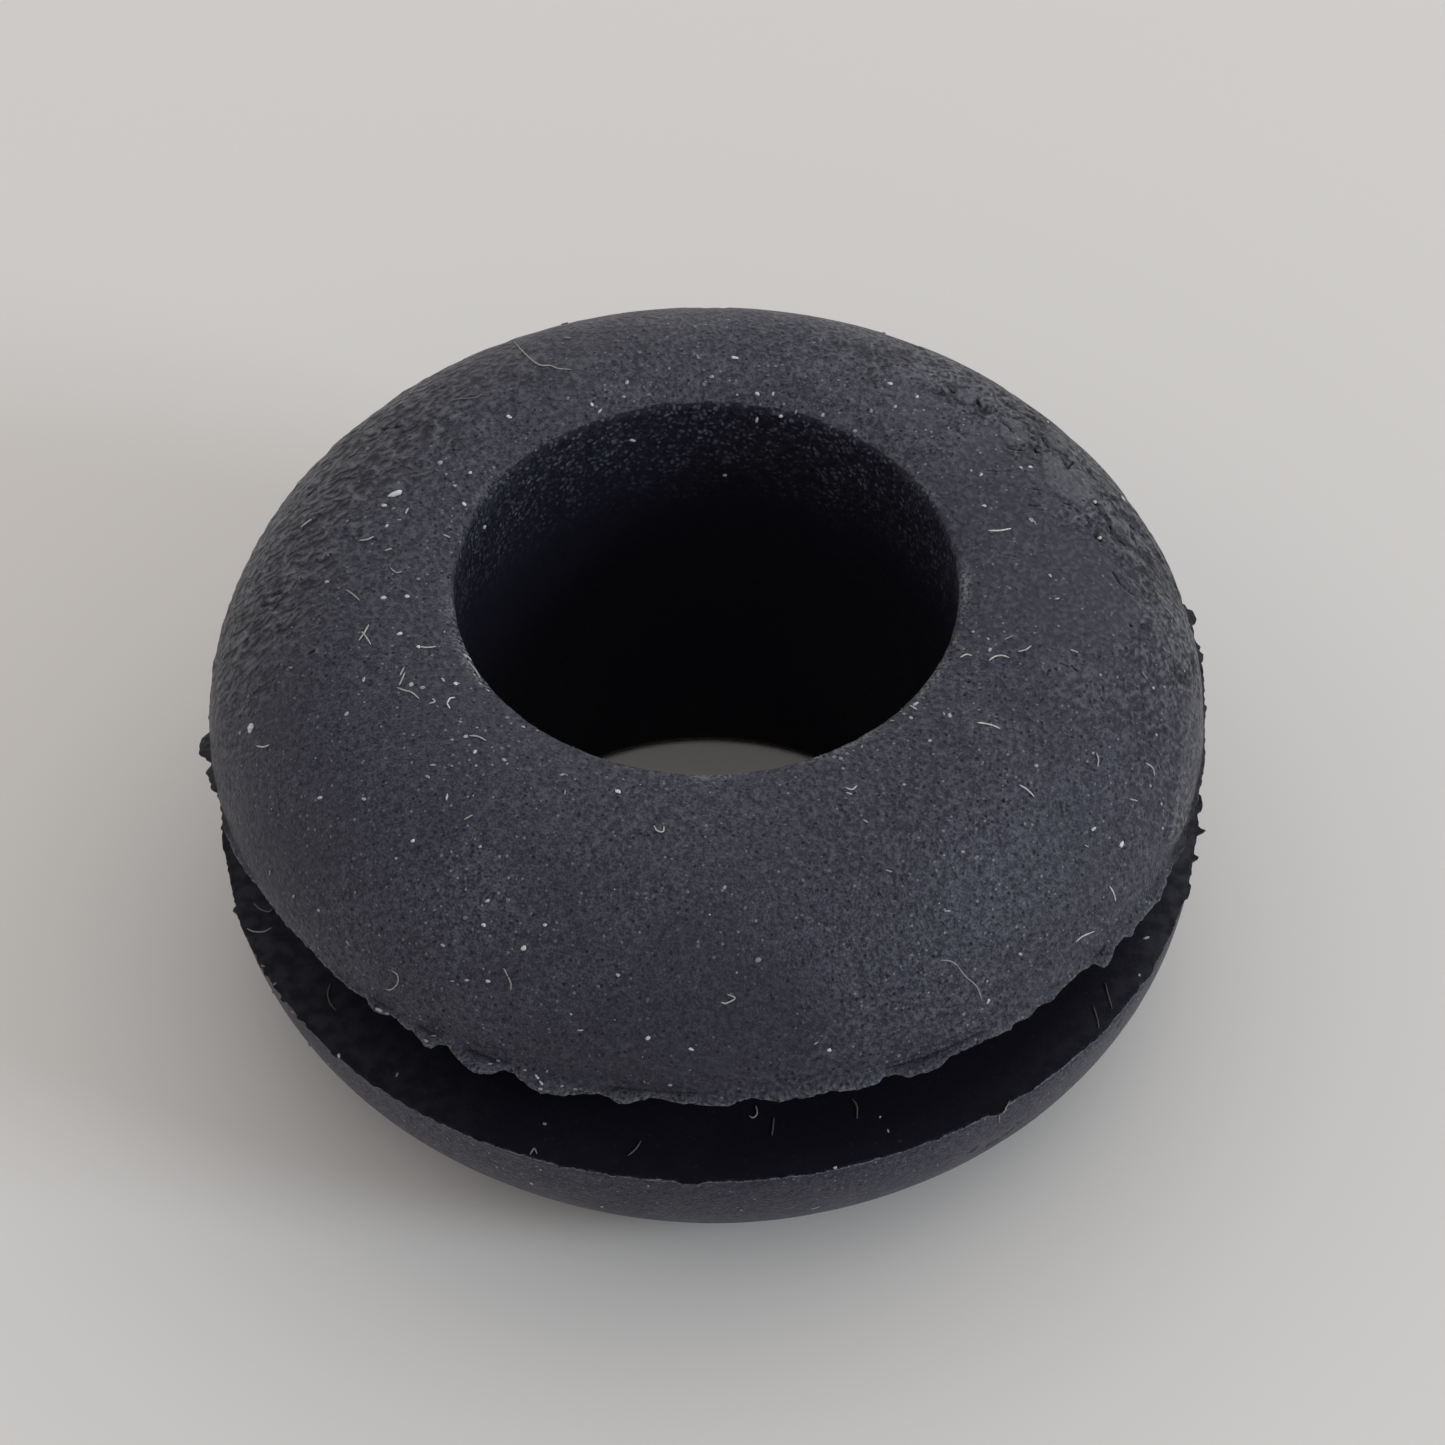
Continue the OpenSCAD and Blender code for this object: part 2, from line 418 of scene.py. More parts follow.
def fin_sides(angles, flash, face_z, up):
    """The two sides of a thin fin, as rings from its root to its torn edge: the dome's side, then
    the groove's. up is 1 on the upper lip and -1 on the lower one, where the fin is turned over.
    A ring's points are x, y, z, how worn each is and how much crease shade is painted on it."""
    reach, droop, level, painted_shade = flash
    side_out = outward(angles)
    sides = []
    for root_t, edge_t in ((FIN_ROOT_T, FIN_EDGE_T), (0.0, 0.0)):
        rings = []
        for share in FIN_SHARES:
            across, down = curled(reach * share, droop * share)
            places = side_out * (OUTER_R - FIN_ROOT_IN + across)[:, None]
            crumple = CRUMPLE * share * soft_noise(places, CRUMPLE_L, seed=71) * (reach / CRUMPLE_L)
            crumple += FINE_CRUMPLE * share * soft_noise(places, FINE_CRUMPLE_L, seed=73)
            places[:, 2] = face_z + up * (root_t + (edge_t - root_t) * share - down + crumple)
            from_edge = reach * (1 - share)
            worn = np.maximum(1 - from_edge / TORN_RIM_W, LEVEL_WEAR * level * share) * (1 - painted_shade)
            worn = np.clip(EDGE_WEAR * worn, 0, 1)
            # painted shade along the crease, and over the whole flap where the flap is painted dark
            crease_shade = np.maximum(level * np.interp(share, FIN_SHARES[:2], CREASE_SHADES), painted_shade)
            rings.append(np.column_stack([places, worn, crease_shade]))
        sides.append(rings)
    return sides


# ---------------------------------------------------------------- the ring as one closed mesh
def turned(section, columns):
    """Rings of points for a stretch of section, neither worn nor painted with crease shade."""
    directions = outward(columns_round(columns))
    plain = np.zeros((columns, 2))
    return [np.column_stack([directions * r + [0, 0, z], plain]) for r, z in section]


def grommet_rings():
    """Every ring of the closed mesh in order round the section, with the slot of the faces after it."""
    torn_angles = columns_round(TORN_COLUMNS)
    dome = flange_dome(steps=38)
    crown = flange_crown(dish_steps=8, rim_steps=5)
    lower_crown = mirrored(flange_crown(dish_steps=5, rim_steps=4))
    lower_dome = mirrored(flange_dome(steps=26))
    root_lower = (GROOVE_R + ROOT_ROUND, LOWER_FACE_Z + ROOT_ROUND)
    root_upper = (GROOVE_R + ROOT_ROUND, UPPER_FACE_Z - ROOT_ROUND)
    bore = [crown[-1]] + line(crown[-1], lower_crown[0], steps=16)
    groove = (
        [(OUTER_R - CLEAN_FROM, LOWER_FACE_Z)]
        + line((OUTER_R, LOWER_FACE_Z), root_lower[:1] + (LOWER_FACE_Z,), steps=9)
        + arc(root_lower, ROOT_ROUND, -UPRIGHT, -math.pi, steps=4)
        + line((GROOVE_R, root_lower[1]), (GROOVE_R, root_upper[1]), steps=6)
        + arc(root_upper, ROOT_ROUND, math.pi, UPRIGHT, steps=4)
        + line(root_upper[:1] + (UPPER_FACE_Z,), (OUTER_R, UPPER_FACE_Z), steps=9)
        + [(OUTER_R - CLEAN_FROM, UPPER_FACE_Z)]
    )
    upper = upper_flash(torn_angles)
    outside = turned(dome + crown[:-1], DOME_COLUMNS)
    _, _, level, _ = upper
    # painted shade of the crease where level flash meets the dome's lowest ring
    outside[0][:, CREASE_SHADE_AT] = DOME_CREASE_SHADE * level[::2]
    upper_outside, upper_inside = fin_sides(torn_angles, upper, UPPER_FACE_Z, 1)
    lower_outside, lower_inside = fin_sides(torn_angles, lower_flash(torn_angles), LOWER_FACE_Z, -1)
    stretches = [
        (SKIN, outside),
        (BORE, turned(bore, PLAIN_COLUMNS)),
        (SKIN, turned(lower_crown + lower_dome[:-3], PLAIN_COLUMNS)),
        (SKIN, turned(lower_dome[-3:], DOME_COLUMNS)),
        (SKIN, lower_outside),
        (GROOVE, lower_inside[::-1]),
        (GROOVE, turned(groove[:2], DOME_COLUMNS)),
        (GROOVE, turned(groove[2:-2], PLAIN_COLUMNS)),
        (GROOVE, turned(groove[-2:], DOME_COLUMNS)),
        (GROOVE, upper_inside[:-1]),
        (SKIN, upper_inside[-1:] + upper_outside[::-1]),
    ]
    return [(slot, ring) for slot, rings in stretches for ring in rings]


def bridge(bm, ring, following, slot):
    """Faces between two rings, where one may have twice the columns of the other."""
    columns = min(len(ring), len(following))
    for i in range(columns):
        if len(ring) == len(following):
            corners = (ring[i - 1], ring[i], following[i], following[i - 1])
        elif len(ring) > len(following):
            corners = (ring[2 * i - 2], ring[2 * i - 1], ring[2 * i], following[i], following[i - 1])
        else:
            corners = (ring[i - 1], ring[i], following[2 * i], following[2 * i - 1], following[2 * i - 2])
        bm.faces.new(corners).material_index = slot


def ring_mesh():
    """The closed ring, before its skin is roughened."""
    bm = bmesh.new()
    worn = bm.verts.layers.float.new("worn")
    hollow = bm.verts.layers.float.new("hollow")
    rings = []
    for slot, places in grommet_rings():
        verts = []
        for place in places:
            vert = bm.verts.new(place[:3])
            vert[worn] = place[WORN]
            vert[hollow] = place[CREASE_SHADE_AT]
            verts.append(vert)
        rings.append((slot, verts))
    for (slot, ring), (_, following) in zip(rings, rings[1:] + rings[:1]):
        bridge(bm, ring, following, slot)
    bmesh.ops.recalc_face_normals(bm, faces=bm.faces)
    return bm


# ---------------------------------------------------------------- the skin's flaws
# Cracks, folds and pits in the moulded skin, as places in the frame that the flaw runs through,
# then its half width and depth in mm. A flaw with one place is a pit.
FLAWS = [
    ([(1043, 439), (1048, 446), (1056, 451), (1064, 455)], 0.037, 0.075),
    ([(1063, 460), (1067, 470), (1073, 462)], 0.025, 0.04),
    ([(1087, 470), (1093, 479)], 0.025, 0.05),
    ([(985, 470), (998, 471), (1009, 470), (1019, 468)], 0.017, 0.026),
    ([(1002, 423), (1007, 427), (1012, 433)], 0.037, 0.07),
    ([(1007, 448), (1016, 450), (1026, 450)], 0.025, 0.045),
    ([(1035, 447), (1036, 453)], 0.037, 0.06),
    ([(1030, 438), (1033, 441)], 0.025, 0.05),
    ([(998, 416), (1007, 419)], 0.018, 0.026),
    ([(977, 400), (981, 405)], 0.033, 0.06),
    ([(955, 399), (962, 403)], 0.033, 0.05),
    ([(947, 387), (955, 393)], 0.025, 0.04),
    ([(874, 391), (890, 396), (904, 399)], 0.018, 0.022),
    ([(958, 431), (965, 437), (961, 447)], 0.020, 0.02),
    ([(885, 434), (900, 431), (915, 433)], 0.018, 0.022),
    ([(1101, 494), (1108, 497), (1115, 501)], 0.033, 0.055),
    ([(1094, 504), (1103, 513), (1109, 524), (1113, 533), (1124, 544)], 0.029, 0.05),
    ([(1120, 511), (1127, 519), (1134, 527)], 0.029, 0.05),
    ([(1115, 551)], 0.041, 0.07),
    ([(1064, 503), (1070, 505)], 0.033, 0.05),
    ([(1075, 510), (1081, 514)], 0.029, 0.05),
    ([(1086, 517), (1089, 523)], 0.029, 0.05),
    ([(1096, 534), (1101, 540)], 0.033, 0.05),
    ([(1078, 541), (1087, 539), (1097, 540)], 0.016, 0.022),
    ([(1114, 572), (1120, 582), (1126, 589), (1134, 595)], 0.029, 0.045),
    ([(1033, 489), (1039, 490)], 0.029, 0.045),
    ([(1029, 504), (1037, 506)], 0.025, 0.04),
    ([(998, 553), (1010, 556), (1021, 559)], 0.017, 0.022),
    ([(1131, 625)], 0.041, 0.05),
    ([(1143, 626)], 0.041, 0.05),
    ([(969, 680)], 0.041, 0.05),
    ([(1060, 663), (1066, 667)], 0.021, 0.024),
    ([(1071, 666), (1077, 671)], 0.021, 0.024),
    ([(1081, 676), (1083, 685)], 0.018, 0.020),
    ([(1085, 694), (1090, 702)], 0.026, 0.028),
    ([(1089, 701), (1095, 712), (1101, 720)], 0.016, 0.022),
    ([(1103, 686), (1104, 698)], 0.026, 0.028),
    ([(1049, 665), (1048, 675)], 0.018, 0.026),
    ([(1026, 777), (1028, 785)], 0.024, 0.024),
    ([(1060, 800), (1062, 817)], 0.018, 0.022),
    ([(1004, 800)], 0.037, 0.04),
    ([(1031, 847), (1035, 854)], 0.022, 0.022),
    ([(309, 652), (313, 650)], 0.033, 0.05),
    ([(272, 596), (281, 592)], 0.029, 0.045),
    ([(262, 606), (268, 603)], 0.029, 0.045),
    ([(247, 641), (252, 634)], 0.029, 0.04),
    ([(309, 494), (316, 489)], 0.029, 0.05),
    ([(341, 499), (352, 497)], 0.018, 0.026),
    ([(383, 429), (397, 427)], 0.029, 0.045),
    ([(965, 694)], 0.037, 0.035),
    ([(968, 1153), (974, 1149), (978, 1144)], 0.025, 0.04),
    ([(986, 1146), (998, 1139), (1009, 1131), (1019, 1122)], 0.027, 0.04),
    ([(1060, 1092), (1069, 1085), (1076, 1079)], 0.025, 0.04),
    ([(1117, 1027), (1124, 1017)], 0.025, 0.04),
]
# Smooth plates of skin that stand a little above the pitted skin round them, as outlines in the frame.
PLATES = [
    [(956, 391), (978, 389), (981, 397), (972, 404), (963, 403), (955, 399)],
    [(1001, 418), (1019, 420), (1028, 434), (1027, 444), (1018, 446), (1008, 446), (1001, 434)],
    [(1042, 435), (1056, 431), (1066, 441), (1068, 451), (1058, 453), (1049, 445)],
    [(1042, 451), (1058, 457), (1065, 469), (1083, 472), (1094, 482), (1100, 495), (1089, 501),
     (1083, 510), (1070, 502), (1058, 495), (1045, 482), (1041, 463)],
    [(1096, 502), (1107, 501), (1116, 507), (1115, 513), (1107, 516)],
    [(1108, 516), (1118, 516), (1127, 526), (1133, 541), (1135, 546), (1127, 542), (1118, 530), (1109, 523)],
    [(1123, 511), (1133, 513), (1142, 523), (1138, 527)],
]
PLATE_HEIGHT = 0.036 * MM
# a plate's edge is this wide, and the painted shade at its foot starts and ends over these depths inside its
# outline, in pixels of the frame
PLATE_EDGE_PX = 2.0
PLATE_FOOT_FROM_PX, PLATE_FOOT_TO_PX = (-4.0, -1.5), (-1.0, 0.5)
# a plate's edge strays this far in the frame, and a plate has this much less relief, and this much
# fewer hollows and pores, than the skin round it
PLATE_STRAYS_PX = 1.5
PLATE_EVENS, PLATE_CLEARS = 0.5, 0.8
# a shallower flaw than this is broken along its length
FAINT_DEPTH = 0.03 * MM

# Where the skin is rough: the middle of each patch in the frame, its radius in pixels, and how
# rough it is from 0 to 1. The patches reach over the skyline to the far side, and fade there.
WRINKLED = [
    (430, 395, 60, 0.9), (370, 440, 60, 1.0), (320, 490, 60, 1.0), (400, 470, 45, 0.7), (285, 545, 55, 1.0),
    (340, 560, 40, 0.5), (255, 610, 50, 1.0), (300, 620, 35, 0.4), (235, 680, 40, 0.7), (235, 740, 30, 0.4),
    (500, 370, 55, 0.6), (560, 355, 45, 0.35), (450, 440, 45, 0.55), (380, 530, 50, 0.5), (225, 640, 40, 0.9),
]
PITTED = [
    (850, 345, 45, 0.6), (900, 360, 45, 0.8), (950, 375, 40, 0.9), (1000, 400, 40, 1.0), (1040, 430, 35, 1.0),
    (1080, 465, 35, 1.0), (1120, 500, 35, 1.0), (1150, 550, 35, 1.0), (1170, 600, 40, 1.0),
    (1185, 660, 45, 1.0), (1150, 640, 45, 0.8), (1090, 520, 40, 0.9), (1120, 560, 30, 0.8),
    (1150, 700, 50, 0.7), (1170, 740, 50, 0.6), (1090, 690, 60, 0.45), (1020, 700, 60, 0.35),
    (980, 740, 60, 0.35), (900, 440, 45, 0.5), (930, 480, 35, 0.5), (960, 420, 30, 0.5),
    (870, 425, 45, 0.49), (925, 465, 45, 0.49), (1040, 480, 40, 0.4), (800, 340, 50, 0.5),
    (740, 345, 60, 0.4), (650, 345, 70, 0.4), (580, 370, 60, 0.3), (1190, 800, 50, 0.6),
    (1186, 822, 28, 0.9), (1020, 420, 50, 0.8),
]
SMOOTH = [
    (1070, 590, 60, 1.0), (1020, 560, 50, 0.8), (990, 520, 40, 0.8), (1100, 610, 40, 0.8),
    (925, 412, 22, 0.8), (985, 450, 28, 0.8), (1000, 480, 25, 0.6), (1065, 480, 22, 0.8),
    (1010, 610, 55, 0.7), (955, 560, 45, 0.6), (935, 500, 40, 0.5), (900, 405, 30, 0.5),
]
FOLDED = [
    (1000, 400, 25, 0.35), (1040, 425, 25, 0.4), (1075, 455, 30, 0.4), (1105, 480, 28, 0.6),
    (1130, 510, 28, 0.9), (1150, 545, 28, 1.0), (1172, 580, 25, 0.8), (1120, 530, 25, 0.7),
]
# a patch fades between these shares of its radius, where its edge wanders by up to PATCH_WANDER
PATCH_EDGE = (0.6, 1.2)
PATCH_WANDER = 0.2
# it loses this much on the far side, as the skin turns away from the camera by these cosines
FAR_SIDE_LOSS = 0.65
FAR_SIDE = (0.05, 0.5)
# how much less grain there is in the smooth patches
SMOOTH_EVENS = 0.8
# Patches where the powder on the upper flange is laid thicker or thinner, in the same way, as painted light
# and painted shade: lighter towards the back skyline and in the window's sheen, darker low in front.
POWDER_PAINTED_LIGHT = [
    (950, 395, 75, 0.8), (860, 365, 60, 0.4), (706, 345, 110, 0.3), (400, 800, 60, 0.1), (470, 900, 70, 0.35),
    (1000, 880, 80, 0.2), (960, 1000, 50, 0.25),
]
POWDER_PAINTED_SHADE = [(700, 1065, 150, 0.5), (590, 1060, 90, 0.35), (280, 875, 60, 0.3), (300, 710, 60, 0.15)]
# The powder's share round the lower flange, raised and lowered as painted light and shade: angle in degrees
# anticlockwise from +X, and share.
LOWER_POWDER_AND_LIGHT = [
    (0, 1.2), (150, 1.0), (195, 0.8), (208, 0.8), (218, 1.2), (227, 1.75), (245, 1.3), (262, 0.85),
    (275, 0.7), (295, 0.9), (315, 1.15), (340, 1.35), (360, 1.2),
]
# Painted light on the groove's lower side near the lip, where light reaches in at the sides, in the same way.
GROOVE_LIGHT_ROUND = [
    (0, 1.0), (160, 0.7), (205, 0.7), (225, 0.45), (245, 0.05), (300, 0.05), (320, 0.3), (330, 0.5),
    (340, 0.8), (360, 1.0),
]
# it starts this far out on the left and on the right, and is all there this far out, as shares of
# the outer radius
GROOVE_LIGHT_FROM = (0.78, 0.9)
GROOVE_LIGHT_FULL = 0.99
# pores on the skin where no patch makes it rough, and patches that have this much less even of those
PLAIN_PORES = 0.32
EVEN_SKIN_LOSS = 0.75
EVEN_SKIN = [(370, 790, 150, 1.0), (510, 960, 150, 1.0), (700, 960, 150, 1.0)]
# how far from the bore's wall the powder is rubbed off its rim, how unevenly, and how softly it ends
RIM_RUBBED_W, RIM_RUBBED_UNEVEN, RIM_RUBBED_SOFT = 0.07 * MM, 0.025 * MM, 0.03 * MM
# the share of its powder that the rim has lost in front, how much more is taken off behind as painted shade,
# and how far back this sets in, from -1 in front to 1 behind
RUBBED_FRONT, RUBBED_AND_SHADED_BEHIND = 0.2, 0.7
BEHIND_SHADE_RAMP = (0.1, 0.7)
# painted shade: the rim has the bore's black rubber from about this far back
SHADED_RIM_BACK, SHADED_RIM_UNEVEN = 0.4, 0.1
# The lower flange is a little smaller on the left: by how much, round which angle, and over which
# cosines from that angle and heights below the lip this sets in. Then how far its lip is drawn in with
# it: angle in degrees, and share.
SQUEEZE = 0.135 * MM
SQUEEZED_SIDE = math.radians(205)
SQUEEZE_COSINES = (0.25, 0.85)
SQUEEZE_BELOW = (0.05 * MM, 0.35 * MM)
SQUEEZED_LIP = [(0, 0), (150, 1), (192, 1), (203, 0.35), (214, 0.3), (222, 0), (360, 0)]


def axes_along(degrees):
    """Directions along and across a line at that angle in the frame, and one at right angles, as columns."""
    right = np.array((1.0, 0.0, 0.0))
    above = np.array((0.0, math.sin(CAMERA_ELEVATION), math.cos(CAMERA_ELEVATION)))
    turn = math.radians(degrees)
    along = right * math.cos(turn) + above * math.sin(turn)
    across = above * math.cos(turn) - right * math.sin(turn)
    return np.column_stack([along, across, np.cross(along, across)])


WRINKLE_AXES = axes_along(33)
FOLD_AXES = axes_along(-50)
# Heights of the skin's relief, and its lengths: one, or one along each of the axes above.
ROLL, ROLL_L = 0.010 * MM, 2.6 * MM
RIPPLE, RIPPLE_L = 0.0035 * MM, 0.5 * MM
WRINKLE, WRINKLE_L = 0.014 * MM, np.array([0.40, 0.20, 0.50]) * MM
SHORT_WRINKLE, SHORT_WRINKLE_L = 0.024 * MM, np.array([0.24, 0.13, 0.36]) * MM
FOLD, FOLD_L = 0.034 * MM, np.array([0.55, 0.17, 0.50]) * MM
FLAKE, FLAKE_L = 0.018 * MM, 0.8 * MM
PIT, PIT_L = 0.045 * MM, 0.17 * MM
RIM_DENT, RIM_DENT_L = 0.011 * MM, 0.15 * MM
# Painted shade in the hollows of each kind and painted highlight on the tops: how dark and how pale, from 0
# to 1.
WRINKLE_DARK, SHORT_WRINKLE_DARK, SHORT_WRINKLE_PALE = 0.15, 0.75, 0.2
FOLD_DARK, FOLD_PALE = 0.8, 0.3
PIT_DARK, FLAKE_FOOT_DARK, FLAKE_PALE = 0.75, 0.4, 0.16
PLATE_FOOT_DARK, PLATE_PALE = 0.8, 0.32
FLAW_LIP_PALE = 0.25
RIM_WEAR = 0.9
# how far a flaw strays from its line, and how much its width changes
FLAW_STRAYS = 0.022 * MM
FLAW_WIDENS = 0.35
# A flaw's raised lips: how far out they lie and how wide they are, in its half widths, and their
# height as a share of its depth. Its middle is cut deeper than it is listed, because it is so narrow.
LIP_AT, LIP_W, LIP_H = 2.1, 0.7, 0.16
CUT_DEEPER = 1.5
# a flaw this deep or deeper is painted fully dark with shade
DARK_DEPTH = 0.035 * MM
# Faces are cut in four where the skin is rougher than this, and once, twice and three times within
# these distances of a flaw, in its half widths, and twice this near to a plate's outline.
CUT_ROUGHER = 0.5
CUT_NEAR_FLAW = (4, 2.0, 1.1)
CUT_NEAR_PLATE_PX = 2.5
# the middle of the bore's rim is this far out from the bore's wall, and the rim's dents and its wear
# fade over these distances from there
RIM_MIDDLE = 0.1 * MM
DENTED_RIM = (0.1 * MM, 0.4 * MM)
WORN_RIM = (0.03 * MM, 0.2 * MM)
# below the rim a drop counts as this many times that distance, and the wear ends this far back
RIM_STEEPER = 2.0
WEAR_BACK = (0.3, 0.8)


def patch_share(points, patches):
    """How much of each point's place lies in patches of the upper flange's skin, from 0 to 1."""
    seen_at = in_frame(points)
    share = np.zeros(len(points))
    wander = PATCH_WANDER * soft_noise(points, 0.7 * MM, seed=83)
    from_axis = np.hypot(points[:, 0], points[:, 1])
    normals = points * ((from_axis - CROWN_OUTER_R) / from_axis)[:, None]
    normals[:, 2] = points[:, 2] - UPPER_FACE_Z
    to_camera = np.array(camera.matrix_world.translation) - points
    facing = (normals * to_camera).sum(axis=1) / (FLANGE_H * CAMERA_DISTANCE)
    beyond = ramp(-facing, *FAR_SIDE)
    for across, down, radius, most in patches:
        reach = np.hypot(seen_at[:, 0] - across, seen_at[:, 1] - down) / radius + wander
        share = np.maximum(share, most * (1 - ramp(reach, *PATCH_EDGE)))
    return share * (1 - FAR_SIDE_LOSS * beyond) * (points[:, 2] > UPPER_FACE_Z)


def pitted_share(points):
    """How pitted the skin is at each point, from 0 to 1."""
    return patch_share(points, PITTED) * (1 - patch_share(points, SMOOTH))


def degrees_round(points):
    """The angle of each point round the axis in degrees, anticlockwise from +X."""
    return np.degrees(np.arctan2(points[:, 1], points[:, 0])) % 360


def on_bore_rim(points):
    """How much of each point's place is the bore's rim, from 0 to 1, and how far back on it that is."""
    from_axis = np.hypot(points[:, 0], points[:, 1])
    width = RIM_RUBBED_W + RIM_RUBBED_UNEVEN * soft_noise(points, 0.15 * MM, seed=197)
    return 1 - ramp(from_axis - BORE_R - width, 0, RIM_RUBBED_SOFT), points[:, 1] / from_axis


def powder_and_light_share(points):
    """How thick the powder is laid at each point, where 1 is usual: thicker and thinner in patches as painted
    light and painted shade, and thinner on the bore's rim, more so behind as painted shade.
    """
    upper = 1 + patch_share(points, POWDER_PAINTED_LIGHT) - patch_share(points, POWDER_PAINTED_SHADE)
    lower = np.interp(degrees_round(points), *zip(*LOWER_POWDER_AND_LIGHT))
    on_rim, back = on_bore_rim(points)
    # painted shade: the rim loses more of its powder behind
    rubbed_and_shaded = RUBBED_FRONT + RUBBED_AND_SHADED_BEHIND * ramp(back, *BEHIND_SHADE_RAMP)
    return np.where(points[:, 2] > MIDDLE_Z, upper, lower) * (1 - rubbed_and_shaded * on_rim)


def groove_light_share(points):
    """How much painted light the groove's lower side has at each point, from 0 to 1."""
    start = np.where(points[:, 0] < 0, *GROOVE_LIGHT_FROM)
    outwards = ramp(np.hypot(points[:, 0], points[:, 1]) / OUTER_R, start, GROOVE_LIGHT_FULL)
    return np.interp(degrees_round(points), *zip(*GROOVE_LIGHT_ROUND)) * outwards * (points[:, 2] < MIDDLE_Z)


def squeezed(points):
    """The points with the lower flange's outside drawn in on its smaller side."""
    from_axis = np.hypot(points[:, 0], points[:, 1])
    facing = np.cos(np.arctan2(points[:, 1], points[:, 0]) - SQUEEZED_SIDE)
    lip = np.interp(degrees_round(points), *zip(*SQUEEZED_LIP))
    lip *= 1 - ramp(points[:, 2], LOWER_FACE_Z, UPPER_FACE_Z)
    below = ramp(LOWER_FACE_Z - points[:, 2], *SQUEEZE_BELOW)
    share = ramp(facing, *SQUEEZE_COSINES) * np.maximum(lip, below)
    inward = SQUEEZE * share * np.clip((from_axis - GROOVE_R) / (OUTER_R - GROOVE_R), 0, 1)
    kept = 1 - inward / from_axis
    return points * np.column_stack([kept, kept, np.ones(len(points))])


def flaw_lines(bm):
    """Each flaw as points on the ring's skin, with its half width and depth."""
    tree = BVHTree.FromBMesh(bm)
    found = []
    for places, half_width, depth in FLAWS:
        hits = [tree.ray_cast(*sight_line(*place))[0] for place in places]
        found.append((np.array(hits), half_width * MM, depth * MM))
    return found


def distance_to_line(points, line_points):
    """Distance from each point to a chain of straight stretches, or to a single point."""
    nearest = np.linalg.norm(points - line_points[0], axis=1)
    for a, b in zip(line_points[:-1], line_points[1:]):
        along = b - a
        share = np.clip((points - a) @ along / (along @ along), 0, 1)
        nearest = np.minimum(nearest, np.linalg.norm(points - a - share[:, None] * along, axis=1))
    return nearest


def flaw_distance(points, flaws):
    """Distance to the nearest flaw in that flaw's half widths."""
    nearest = np.full(len(points), np.inf)
    for line_points, half_width, _ in flaws:
        nearest = np.minimum(nearest, distance_to_line(points, line_points) / half_width)
    return nearest


def plate_depth(points):
    """How far inside the outline of a smooth plate each point is, in pixels, negative outside."""
    seen_at = in_frame(points)
    best = np.full(len(points), -np.inf)
    for outline in PLATES:
        closed = np.array(outline + outline[:1], float)
        inside = np.zeros(len(points), bool)
        for (x0, y0), (x1, y1) in zip(closed[:-1], closed[1:]):
            between = (y0 > seen_at[:, 1]) != (y1 > seen_at[:, 1])
            # nothing lies between the ends of a level edge, so any rise does for it
            meets = (x1 - x0) * (seen_at[:, 1] - y0) / ((y1 - y0) or 1) + x0
            inside ^= between & (seen_at[:, 0] < meets)
        depth = distance_to_line(seen_at, closed) * np.where(inside, 1, -1)
        depth += PLATE_STRAYS_PX * soft_noise(points, 0.12 * MM, seed=97)
        best = np.maximum(best, depth)
    return np.where((points[:, 2] > UPPER_FACE_Z) & (points[:, 0] > 0), best, -np.inf)


def quarter_faces(bm, chosen):
    """Cuts each chosen face into four. Its neighbours are cut only as far as the new edges ask."""
    edges = {edge for face, wanted in zip(bm.faces, chosen) if wanted for edge in face.edges}
    bmesh.ops.subdivide_edges(bm, edges=list(edges), cuts=1, use_grid_fill=True)


def face_centres(bm):
    """The middle of each face, (n, 3)."""
    return np.array([face.calc_center_median() for face in bm.faces])


def refine(bm, flaws):
    """Smaller faces where the skin is rough, and smaller still along the flaws."""
    centres = face_centres(bm)
    rough = np.maximum(patch_share(centres, WRINKLED), pitted_share(centres))
    rough = np.maximum(rough, patch_share(centres, FOLDED))
    on_dome = centres[:, 2] > UPPER_FACE_Z + FIN_ROOT_T
    once, twice, thrice = CUT_NEAR_FLAW
    quarter_faces(bm, on_dome & ((rough > CUT_ROUGHER) | (flaw_distance(centres, flaws) < once)))
    centres = face_centres(bm)
    at_plate = np.abs(plate_depth(centres)) < CUT_NEAR_PLATE_PX
    quarter_faces(bm, (flaw_distance(centres, flaws) < twice) | at_plate)
    quarter_faces(bm, flaw_distance(face_centres(bm), flaws) < thrice)


def shade_far_rim(bm):
    """Paints shade on the far side of the upper rim by giving it the bore's black rubber."""
    centres = face_centres(bm)
    on_rim, back = on_bore_rim(centres)
    shaded_rim = (on_rim > 0.5) & (back + SHADED_RIM_UNEVEN * soft_noise(centres, 0.3 * MM, seed=199) > SHADED_RIM_BACK)
    for face, painted_shade in zip(bm.faces, shaded_rim & (centres[:, 2] > MIDDLE_Z)):
        if painted_shade:
            face.material_index = BORE


class Relief:
    """How far the skin stands off its smooth form at each point, in metres, with hollows negative,
    and how much shade is painted in its hollows and highlight on its tops there, from 0 to 1."""

    def __init__(self, points):
        self.off = ROLL * soft_noise(points, ROLL_L, seed=101)
        self.off += RIPPLE * soft_noise(points, RIPPLE_L, seed=103)
        self.hollow = np.zeros(len(points))
        self.pale = np.zeros(len(points))

    def add(self, off, hollow, pale):
        """Adds to the form, and keeps the stronger look at each point."""
        self.off = self.off + off
        self.hollow = np.maximum(self.hollow, hollow)
        self.pale = np.maximum(self.pale, pale)


